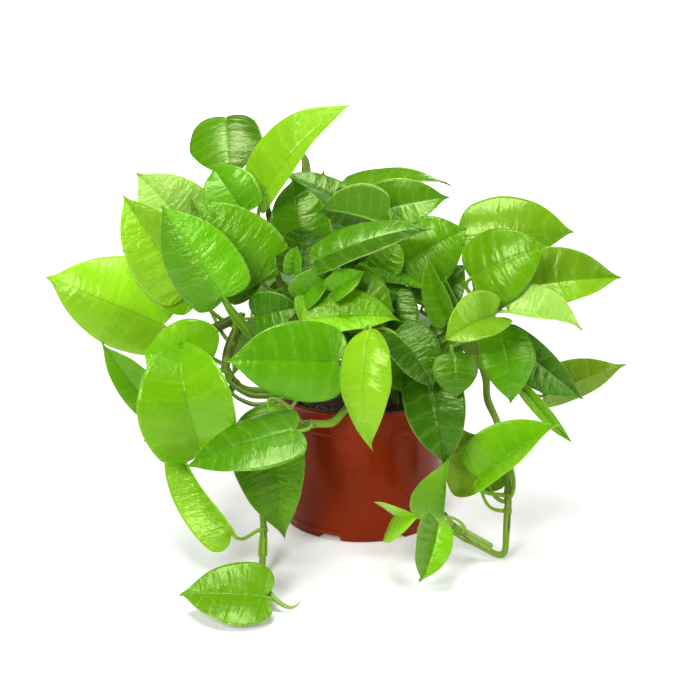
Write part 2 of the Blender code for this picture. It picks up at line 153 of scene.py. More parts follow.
def gather(parts):
    # several point-and-face sets as one, with the later faces counted on
    points, faces, start = [], [], 0
    for p, f in parts:
        points.append(p)
        faces += [tuple(int(k) + start for k in face) for face in f]
        start += len(p)
    return np.vstack(points), faces


# Shared shader helpers
def feed(tree, socket, value):
    # a number or a colour is set on the socket itself, and anything else is linked to it
    if isinstance(value, (int, float)):
        socket.default_value = value
    elif isinstance(value, tuple):
        socket.default_value = value + (1.0,) * (len(socket.default_value) - len(value))
    else:
        tree.links.new(value, socket)


def newNode(tree, kind, sockets=None, **settings):
    # a node with its settings made and its sockets fed
    made = tree.nodes.new(kind)
    for key, value in settings.items():
        setattr(made, key, value)
    for key, value in (sockets or {}).items():
        feed(tree, made.inputs[key], value)
    return made


def newMaterial(name):
    # a material with its tree, its shader and the piece's own coordinates
    material = bpy.data.materials.new(name)
    material.use_nodes = True
    tree = material.node_tree
    spot = newNode(tree, "ShaderNodeTexCoord").outputs["Object"]
    return material, tree, tree.nodes["Principled BSDF"], spot


def finishShader(tree, shader, sockets):
    # feeds the shader's sockets by name
    for key, value in sockets.items():
        feed(tree, shader.inputs[key], value)


def painted(tree):
    # the colour and the place on the piece that newPiece stored at each point
    tint = newNode(tree, "ShaderNodeAttribute", attribute_name="tint").outputs["Color"]
    return tint, newNode(tree, "ShaderNodeUVMap", uv_map="along").outputs["UV"]


def mathNode(tree, operation, a, b=0.0):
    # a (operation) b
    return newNode(tree, "ShaderNodeMath", {0: a, 1: b}, operation=operation).outputs[0]


def noiseNode(tree, vector, scale, detail=3.0, rough=0.55):
    # cloudy noise from 0 to 1
    sockets = {"Vector": vector, "Scale": scale, "Detail": detail, "Roughness": rough}
    return newNode(tree, "ShaderNodeTexNoise", sockets).outputs["Fac"]


def stretched(tree, vector, scale):
    # the same coordinates, closer together on each axis by its scale
    return newNode(tree, "ShaderNodeMapping", {"Vector": vector, "Scale": scale}).outputs["Vector"]


def spanNode(tree, value, low, high, toLow, toHigh):
    # low to high becomes toLow to toHigh, held at both ends
    return newNode(tree, "ShaderNodeMapRange", {0: value, 1: low, 2: high, 3: toLow, 4: toHigh}).outputs[0]


def mixColour(tree, factor, a, b, blend="MIX"):
    # from a to b by the factor, or a times b where the blend says so
    sockets = {0: factor, 6: a, 7: b}
    return newNode(tree, "ShaderNodeMix", sockets, data_type="RGBA", blend_type=blend).outputs[2]


def bumpNode(tree, height, distance, strength=1.0, under=None):
    # the height tilts the normal, over another bump where there is one
    sockets = {"Strength": strength, "Distance": distance, "Height": height}
    if under is not None:
        sockets["Normal"] = under
    return newNode(tree, "ShaderNodeBump", sockets).outputs["Normal"]


# Leaves
leafLook = {
    "veins": 11,            # side veins on each half
    "quilt": 0.00030,       # how far the blade swells between veins
    "keel": 0.020,          # how high each half bulges beside the midrib, in leaf widths
    "groove": 0.0005,       # depth of the midrib furrow
    "thick": 0.00055,
    "marginThick": 0.00018,
    "gloss": 0.21,
    "glow": 0.18,           # share of light that passes through the blade
    "specular": 0.55,
    "sheen": (0.80, 1.0, 0.38),                  # colour of the reflections
    "pucker": (5.0, 34.0, 1.0),                  # folds across the blade and along it
    "finePucker": (16.0, 120.0, 1.0),
    "puckerDepth": 0.0021,
    "finePuckerDepth": 0.00034,
    "veinDepth": 0.00022,
    "fleckDepth": 0.00004,
    # folded is painted shade, darkening the blade where the puckers fold
    # midrib is painted shade, darkening the furrow along the midrib
    "shadowed": (0.66, 0.80, 0.50),              # the tint is multiplied by these in patches,
    "folded": (0.74, 0.88, 0.60),                # in folds
    "midrib": (0.48, 0.62, 0.30),                # and on the midrib,
    "vein": (0.42, 0.66, 0.08),                  # and turns to these on veins,
    "edge": (0.52, 0.66, 0.18),                  # along the edge
    "fleck": (0.45, 0.68, 0.15),                 # and in flecks
}
tones = {
    "lime": (0.27, 0.56, 0.012), "bright": (0.165, 0.43, 0.002), "green": (0.105, 0.31, 0.002),
    "deep": (0.046, 0.18, 0.002), "olive": (0.185, 0.32, 0.006), "moss": (0.085, 0.28, 0.003),
    "pale": (0.36, 0.60, 0.10), "leafy": (0.110, 0.37, 0.002),
}
# Half a blade's edge, heart-shaped: half widths out, lengths along
halfEdge = ((0, 0), (.10, -.040), (.28, -.088), (.52, -.100), (.76, -.050), (.93, .06), (1.0, .19),
            (1.0, .32), (.95, .44), (.84, .56), (.68, .68), (.45, .79), (.225, .873), (.09, .928),
            (.034, .968), (0, 1.0))


def leafMaterial(name, relief):
    # side veins are a sharp crest of a sine; the puckers between them are a noise stretched
    # along the veins, and both lie in the blade's own (across, along) coordinates
    material, tree, shader, spot = newMaterial(name)
    tint, place = painted(tree)
    split = newNode(tree, "ShaderNodeSeparateXYZ", {0: place})
    across, along = split.outputs["X"], split.outputs["Y"]
    outward = mathNode(tree, "ABSOLUTE", mathNode(tree, "SUBTRACT", across, 0.5))
    outward = mathNode(tree, "MULTIPLY", outward, 2.0)
    pucker = noiseNode(tree, stretched(tree, place, leafLook["pucker"]), 1.0, 3.0, 0.55)
    finePucker = noiseNode(tree, stretched(tree, place, leafLook["finePucker"]), 1.0, 2.0, 0.5)
    wobble = mathNode(tree, "MULTIPLY", noiseNode(tree, spot, 90.0, 2.0), 0.05)
    wave = mathNode(tree, "MULTIPLY", mathNode(tree, "ADD", along, wobble), 2 * math.pi * leafLook["veins"])
    crest = mathNode(tree, "POWER", spanNode(tree, mathNode(tree, "SINE", wave), -1, 1, 0, 1), 8.0)
    midrib = spanNode(tree, outward, 0.004, 0.030, 1.0, 0.0)
    patches = spanNode(tree, noiseNode(tree, spot, 30.0, 4.0, 0.6), 0.36, 0.72, 0.0, 0.55)
    flecks = noiseNode(tree, spot, 700.0, 2.0)
    colour = mixColour(tree, patches, tint, leafLook["shadowed"], "MULTIPLY")
    # the blade darkens in the pucker folds as painted shade
    foldShade = spanNode(tree, pucker, 0.35, 0.75, 0.0, 0.30)
    colour = mixColour(tree, foldShade, colour, leafLook["folded"], "MULTIPLY")
    colour = mixColour(tree, mathNode(tree, "MULTIPLY", crest, 0.07), colour, leafLook["vein"])
    # the midrib band is darkened as painted furrow shade
    colour = mixColour(tree, mathNode(tree, "MULTIPLY", midrib, 0.55), colour, leafLook["midrib"], "MULTIPLY")
    colour = mixColour(tree, spanNode(tree, outward, 0.975, 1.0, 0.0, 0.45), colour, leafLook["edge"])
    colour = mixColour(tree, spanNode(tree, flecks, 0.62, 0.75, 0.0, 0.12), colour, leafLook["fleck"])
    gloss = leafLook["gloss"]
    rough = spanNode(tree, noiseNode(tree, spot, 150.0, 3.0), 0.3, 0.7, gloss - 0.05, gloss + 0.12)
    normal = bumpNode(tree, pucker, leafLook["puckerDepth"] * relief, 0.70)
    normal = bumpNode(tree, finePucker, leafLook["finePuckerDepth"] * relief, 0.55, normal)
    normal = bumpNode(tree, mathNode(tree, "MULTIPLY", crest, -1.0), leafLook["veinDepth"], 0.6, normal)
    normal = bumpNode(tree, flecks, leafLook["fleckDepth"], 0.35, normal)
    finishShader(tree, shader, {
        "Base Color": colour, "Roughness": rough, "Specular IOR Level": leafLook["specular"],
        "Specular Tint": leafLook["sheen"], "Subsurface Weight": leafLook["glow"],
        "Subsurface Radius": (0.0012, 0.0016, 0.0003), "Subsurface Scale": 1.0, "Normal": normal})
    return material


stalkLook = {
    "size": 0.0016, "sides": 10,
    "rows": 26, "ribRows": 12,       # rings on the stalk, and on the rib below the midrib
    "straight": 0.014,               # how far it runs straight out of the vine
    "backset": 0.018,                # how far it runs in line with the midrib before the blade
    "under": 0.0012,                 # how far below the blade it meets the midrib
    "ribHalf": 0.0011,               # the rib's greatest half width
    "gloss": 0.42, "specular": 0.35, "sheen": (0.85, 1.0, 0.60), "glow": 0.15,
    "shadowed": (0.55, 0.72, 0.40), "rib": (0.30, 0.44, 0.04), "foot": (0.30, 0.30, 0.08),
    "mixed": (0.12, 0.21, 0.01),     # added to half of its leaf's own colour
}


def stalkMaterial():
    # the stored tint, darker in patches, with fine lengthwise ribs that are paler and raised
    material, tree, shader, spot = newMaterial("stalkSkin")
    tint, place = painted(tree)
    sockets = {"Scale": 3.0, "Distortion": 1.5, "Vector": place}
    ribs = newNode(tree, "ShaderNodeTexWave", sockets, bands_direction="X").outputs["Fac"]
    patches = spanNode(tree, noiseNode(tree, spot, 60.0), 0.4, 0.7, 0.0, 0.35)
    colour = mixColour(tree, patches, tint, stalkLook["shadowed"], "MULTIPLY")
    colour = mixColour(tree, mathNode(tree, "MULTIPLY", ribs, 0.22), colour, stalkLook["rib"])
    finishShader(tree, shader, {
        "Base Color": colour, "Roughness": stalkLook["gloss"], "Specular IOR Level": stalkLook["specular"],
        "Specular Tint": stalkLook["sheen"], "Subsurface Weight": stalkLook["glow"],
        "Subsurface Radius": (0.002, 0.002, 0.0006), "Subsurface Scale": 1.0,
        "Normal": bumpNode(tree, ribs, 0.00012, 0.6)})
    return material


def bladeFrame(leaf):
    # along the blade, across it to the right, and out of its upper side
    along = unit(leaf["tip"] - leaf["base"])
    azimuth, elevation = np.radians(leaf["facing"])
    out = np.array((math.sin(azimuth) * math.cos(elevation), -math.cos(azimuth) * math.cos(elevation),
                    math.sin(elevation)))
    out = unit(out - along * (out @ along))
    return along, np.cross(along, out), out


def bladeSurface(leaf, across, along):
    # place = base + along + arch * 4t(1-t) * out, then each half swings up by its rise and curls
    # along a circle toward the edge; roll turns it about the midrib toward the tip and sway bows
    # the midrib sideways; across is in half widths, along in lengths
    length = np.linalg.norm(leaf["tip"] - leaf["base"])
    ahead, right, out = bladeFrame(leaf)
    slope = leaf["arch"] * 4 * (1 - 2 * along) / length
    centre = (leaf["base"] + (along * length)[..., None] * ahead
              + (leaf["arch"] * 4 * along * (1 - along))[..., None] * out
              + (leaf["sway"] * leaf["width"] * np.sin(np.pi * along))[..., None] * right)
    normal = unit(out - slope[..., None] * ahead)
    rise = np.radians(np.where(across < 0, *leaf["rises"])
                      + np.sign(across) * leaf["roll"] * (along - 0.4))
    bend = math.radians(leaf["curl"])
    spread = np.abs(across)
    half = leaf["width"] / 2
    sideways = (np.sin(rise + bend * spread) - np.sin(rise)) / bend * half * np.sign(across)
    upward = (np.cos(rise) - np.cos(rise + bend * spread)) / bend * half
    return centre + sideways[..., None] * right + upward[..., None] * normal


def bladeEdge(leaf, run):
    # the table's edge; lobes deepens what lies behind the stalk, and taper draws the shoulders
    # forward by the roundness of a circle
    edge = curveThrough(halfEdge, run * (len(halfEdge) - 1))
    edge[:, 0] = np.maximum(edge[:, 0], 0.0)
    edge[:, 1] = np.where(edge[:, 1] < 0, edge[:, 1] * leaf["lobes"], edge[:, 1])
    roundness = 1 - np.sqrt(1 - np.minimum(edge[:, 0], 0.98) ** 2)
    edge[:, 1] += leaf["taper"] * 0.32 * roundness * (1 - edge[:, 1]) ** 2
    return edge


def bladeRelief(leaf, run, c, x, edge):
    # heights above the flat blade, added up; run goes from 0 at the base to 1 at the tip and c
    # from -1 at the left edge over 0 on the midrib to 1 at the right edge
    phase = np.random.default_rng(leaf["seed"]).uniform(0, roundTurn, 4)
    side, away, spread = np.sign(c), np.abs(c), np.minimum(np.abs(x), 1)
    body = np.sin(np.pi * np.clip(away, 0, 1)) * np.clip(edge[:, :1], 0, 1)
    middle = np.sin(np.pi * run) ** 0.5
    quilting = (np.sin(2 * np.pi * leafLook["veins"] * run + 1.3 * np.sin(4 * np.pi * run + phase[1])
                       + phase[0] + side)
                * (0.6 + 0.4 * np.sin(3.4 * np.pi * run + 3 * away + phase[2])))
    waves = (np.sin(3.2 * np.pi * run + phase[1] + side * phase[3])
             + 0.4 * np.sin(7.4 * np.pi * run + phase[2]))
    slowWave = 0.6 * np.sin(2 * np.pi * run + phase[3]) * away
    furrow = np.exp(-(x / 0.045) ** 2) * (1 - run) ** 0.5
    tipDrop = 0.35 * leaf["width"] * leaf["droop"] * np.clip((run - 0.72) / 0.28, 0, 1) ** 2
    lobeCurl = np.where(c < 0, *leaf["cuffs"]) * leaf["width"] * away ** 3 * bump(run, 0.20, 0.10)
    return (leafLook["quilt"] * leaf["quilt"] * body * quilting
            + leaf["wave"] * (away ** 2.2 * middle * waves + slowWave)
            + leafLook["keel"] * leaf["width"] * 4 * spread * (1 - spread) * middle
            - leafLook["groove"] * furrow - tipDrop + lobeCurl)


def bothSides(top, under):
    # rings that run over the top of the blade and back below it
    return np.concatenate([top, under[:, ::-1]], axis=1)[:, ::-1]


def bladePaint(leaf, run, c, shape):
    # the leaf's tone, lighter near the stalk, times each half's painted light and shade; duller underneath
    tone = np.array(tones[leaf["tone"]]) * (1 + leaf["shade"])
    below = tone * (0.72, 0.76, 0.9) + (0.020, 0.018, 0.006)
    nearStalk = 1 + 0.22 * bump(run, 0.0, 0.25) * (1 - np.abs(c))
    left, right = leaf["sides"]
    # sides paints one half lighter and the other darker, as painted light and shade
    halfLightShade = 1 + np.where(c < 0, left - 1, right - 1) * np.clip(np.abs(c) * 8, 0, 1)
    top = tone * (nearStalk * halfLightShade)[..., None]
    paint = bothSides(top, np.broadcast_to(below, (*shape, 3))).reshape(-1, 3)
    return np.clip(np.vstack([paint, tone, tone]), 0, 1)


def leafBlade(leaf, rows=72, half=14):
    # ribs swing from the midrib forward to the edge like side veins; the sheet is lifted along
    # its own normal by the relief, then gets a skin on each side, thinner toward edge and tip
    run = np.linspace(0, 1, rows) ** 1.15
    edge = bladeEdge(leaf, run)
    run = run[:, None]
    k = np.linspace(-1, 1, 2 * half + 1)
    c = np.sign(k) * np.abs(k) ** 1.2
    vein = np.maximum.accumulate(np.clip((edge[:, 1] + 0.02) * 0.96 - 0.09 * edge[:, 0], 0, None))
    vein[0], vein[-1] = 0.0, 1.0
    x = edge[:, :1] * c * np.where(c < 0, *leaf["halves"])
    y = vein[:, None] + (edge[:, 1] - vein)[:, None] * np.abs(c) ** 1.35
    middle = bladeSurface(leaf, x, y)
    normal = np.cross(np.gradient(middle, axis=0), np.gradient(middle, axis=1))
    solid = np.linalg.norm(normal, axis=-1, keepdims=True) > 1e-10
    out = bladeFrame(leaf)[2]
    normal = np.where(solid, unit(normal), out)
    normal *= np.sign((normal * out).sum(-1, keepdims=True) + 1e-9)
    middle = middle + bladeRelief(leaf, run, c, x, edge)[..., None] * normal
    thin, thick = leafLook["marginThick"], leafLook["thick"]
    skin = (thin + (thick - thin) * (1 - np.abs(c) ** 4)) * np.clip(0.3 + 4 * (1 - run), 0.3, 1)
    skin = (skin / 2)[..., None] * normal
    points, faces = ringSolid(bothSides(middle + skin, middle - skin))
    place = np.stack([np.broadcast_to(0.5 + 0.5 * c, x.shape), np.broadcast_to(run, x.shape)], -1)
    uv = np.vstack([bothSides(place, place).reshape(-1, 2), (0.5, 0.0), (0.5, 1.0)])
    return points, faces, bladePaint(leaf, run, c, x.shape), uv


def leafStalk(leaf):
    # a Bezier out of the vine and round under the base of the blade, then a rib that runs on
    # below the midrib and fades out toward the tip
    rows, ribRows, sides = stalkLook["rows"], stalkLook["ribRows"], stalkLook["sides"]
    route = np.asarray(vineRoutes[leaf["vine"]], float) * cm
    last = len(route) - 1
    at = curveThrough(route, np.array([leaf["place"]]))[0]
    ends = curveThrough(route, np.array([min(leaf["place"] + 0.2, last), max(leaf["place"] - 0.2, 0)]))
    tangent = unit(ends[0] - ends[1])
    ahead, out = bladeFrame(leaf)[::2]
    leave = leaf["base"] - ahead * stalkLook["backset"] - at
    leave = tangent if leaf["place"] == last else unit(leave - tangent * (leave @ tangent))
    end = bladeSurface(leaf, np.zeros(1), np.array([0.03]))[0] - out * stalkLook["under"]
    reach = min(stalkLook["straight"], 0.4 * np.linalg.norm(end - at))
    first = at + leave * reach
    second = end - (ahead + 0.35 * out) * min(stalkLook["backset"], 2 * reach)
    t = np.linspace(0, 1, rows)[:, None]
    stem = at * (1 - t) ** 3 + first * 3 * t * (1 - t) ** 2 + second * 3 * t ** 2 * (1 - t) + end * t ** 3
    run = np.linspace(0.06, 0.9, ribRows)
    rib = bladeSurface(leaf, np.zeros(ribRows), run) - out * (stalkLook["ribHalf"] - 0.0006 * run[:, None])
    path = np.vstack([stem, rib])
    t = t[:, 0]
    radius = leaf["stalk"] * np.concatenate([1.25 - 0.3 * t + 0.35 * bump(t, 0.0, 0.08), 0.9 - 0.78 * run])
    radius[rows:] = np.minimum(radius[rows:], stalkLook["ribHalf"])
    flat = np.concatenate([1 - 0.25 * np.sin(np.pi * t), np.full(ribRows, 0.8)])
    points, faces = ringSolid(tubeGrid(path, radius, sides, flat))
    uv = ringUv(np.linspace(0, 1, sides), np.linspace(0, 1, len(path)))
    uv[-2:, 0] = 0.5
    tone = np.array(tones[leaf["tone"]]) * 0.50 + stalkLook["mixed"]
    foot = np.array(stalkLook["foot"])
    blend = np.concatenate([np.exp(-(t / 0.12) ** 2), np.zeros(ribRows)])[:, None]
    paint = np.repeat(tone * (1 - blend) + foot * blend, sides, axis=0)
    return points, faces, np.vstack([paint, foot, tone]), uv


def makeLeaf(row, number, skins, puckeredSkins):
    # a blade and its stalk in one mesh, from a row of the table and the leaf's habits
    name, vine, place, base, tip, facing, width, arch, rises, curl, tone, shade = row
    local = np.random.default_rng(100 + number)
    ownShade, wavy = local.uniform(-0.08, 0.08), local.uniform(0.6, 1.4)
    leaf = {"vine": vine, "place": place, "base": np.array(base) * cm, "tip": np.array(tip) * cm,
            "facing": facing, "width": width * cm, "arch": arch * cm, "rises": rises, "curl": curl,
            "tone": tone, "shade": ownShade if shade is None else shade, "seed": 300 + number,
            "wave": 0.0013 * width / 6 * wavy, "droop": local.uniform(0.0, 0.30),
            "quilt": local.uniform(0.5, 1.3), "stalk": stalkLook["size"] * (0.55 + 0.45 * min(width, 7) / 6),
            "halves": (1, 1), "lobes": 0.55, "taper": 0, "sides": (1, 1), "cuffs": (0, 0), "sway": 0,
            "roll": 0, "puckered": False}
    leaf.update(leafHabits.get(name, {}))
    bladePoints, bladeFaces, bladeTint, bladeUv = leafBlade(leaf)
    stalkPoints, stalkFaces, stalkTint, stalkUv = leafStalk(leaf)
    points, faces = gather([(bladePoints, bladeFaces), (stalkPoints, stalkFaces)])
    slots = [0] * len(bladeFaces) + [1] * len(stalkFaces)
    return newPiece("growing_" + name, points, faces, puckeredSkins if leaf["puckered"] else skins, slots,
                    np.vstack([bladeTint, stalkTint]), np.vstack([bladeUv, stalkUv]))


# Each vine's route, from the soil to its end
vineRoutes = {
    "vine_left": ((-4.5, -2.5, 10.6), (-4.6, -2.6, 11.6), (-6.2, -3.6, 12.6), (-8.4, -4.3, 12.4),
        (-10.3, -4.4, 12.9), (-11.3, -4.0, 14.6), (-10.6, -3.4, 16.7), (-10.0, -2.4, 18.6)),
    "vine_top_left": ((-2.0, 0.5, 10.6), (-2.1, 0.5, 11.6), (-3.7, 0.3, 14.0), (-5.3, 0.0, 16.5),
        (-6.9, 0.5, 20.0), (-7.7, 1.2, 23.3), (-8.0, 2.2, 26.3)),
    "vine_centre": ((0.5, 2.0, 10.6), (0.5, 2.0, 11.6), (0.3, 1.7, 16.1), (-0.1, 1.8, 19.6),
        (-0.3, 1.9, 23.1), (0.0, 2.0, 25.0)),
    "vine_back": ((-0.5, 4.5, 10.6), (-0.5, 4.5, 11.6), (-1.0, 6.0, 14.5), (-1.5, 7.6, 17.5),
        (-1.0, 8.6, 20.5)),
    "vine_right_high": ((3.0, -1.5, 10.6), (3.0, -1.5, 11.6), (4.8, -2.4, 13.0), (6.5, -2.8, 14.7),
        (8.5, -3.3, 17.4), (10.3, -3.6, 18.9), (11.0, -3.0, 20.2)),
    "vine_right": ((4.4, 1.2, 10.6), (4.5, 1.2, 11.6), (6.5, 0.8, 14.0), (9.0, -0.2, 15.2),
        (11.2, -1.4, 15.8)),
    "vine_right_trailing": ((5.0, -3.4, 10.6), (5.1, -3.5, 11.6), (7.2, -4.4, 14.2), (9.2, -4.8, 15.3),
        (10.1, -4.9, 13.9), (10.3, -5.2, 12.0), (11.0, -6.0, 10.4), (11.7, -7.2, 8.3),
        (11.8, -8.4, 4.8), (11.6, -9.6, 2.2), (11.3, -10.3, 0.55), (9.9, -10.6, 1.1),
        (7.8, -11.0, 2.8), (7.1, -11.1, 3.4)),
    "vine_left_trailing": ((0.3, -5.3, 10.6), (0.2, -5.4, 11.4), (-0.5, -6.6, 12.2),
        (-1.4, -7.8, 11.9), (-2.4, -8.5, 11.1), (-3.8, -8.6, 11.0), (-5.3, -8.4, 10.8),
        (-7.0, -8.2, 9.3), (-7.9, -8.3, 7.0), (-8.1, -9.2, 4.4), (-7.9, -10.8, 2.9),
        (-7.9, -12.2, 1.4), (-7.8, -13.3, 0.42), (-7.4, -15.0, 0.36), (-7.1, -16.4, 0.4)),
    "vine_front": ((-0.8, -3.0, 10.6), (-0.8, -3.0, 11.6), (-1.0, -4.4, 14.4), (-1.4, -5.2, 17.0),
        (-1.2, -5.2, 19.0)),
}
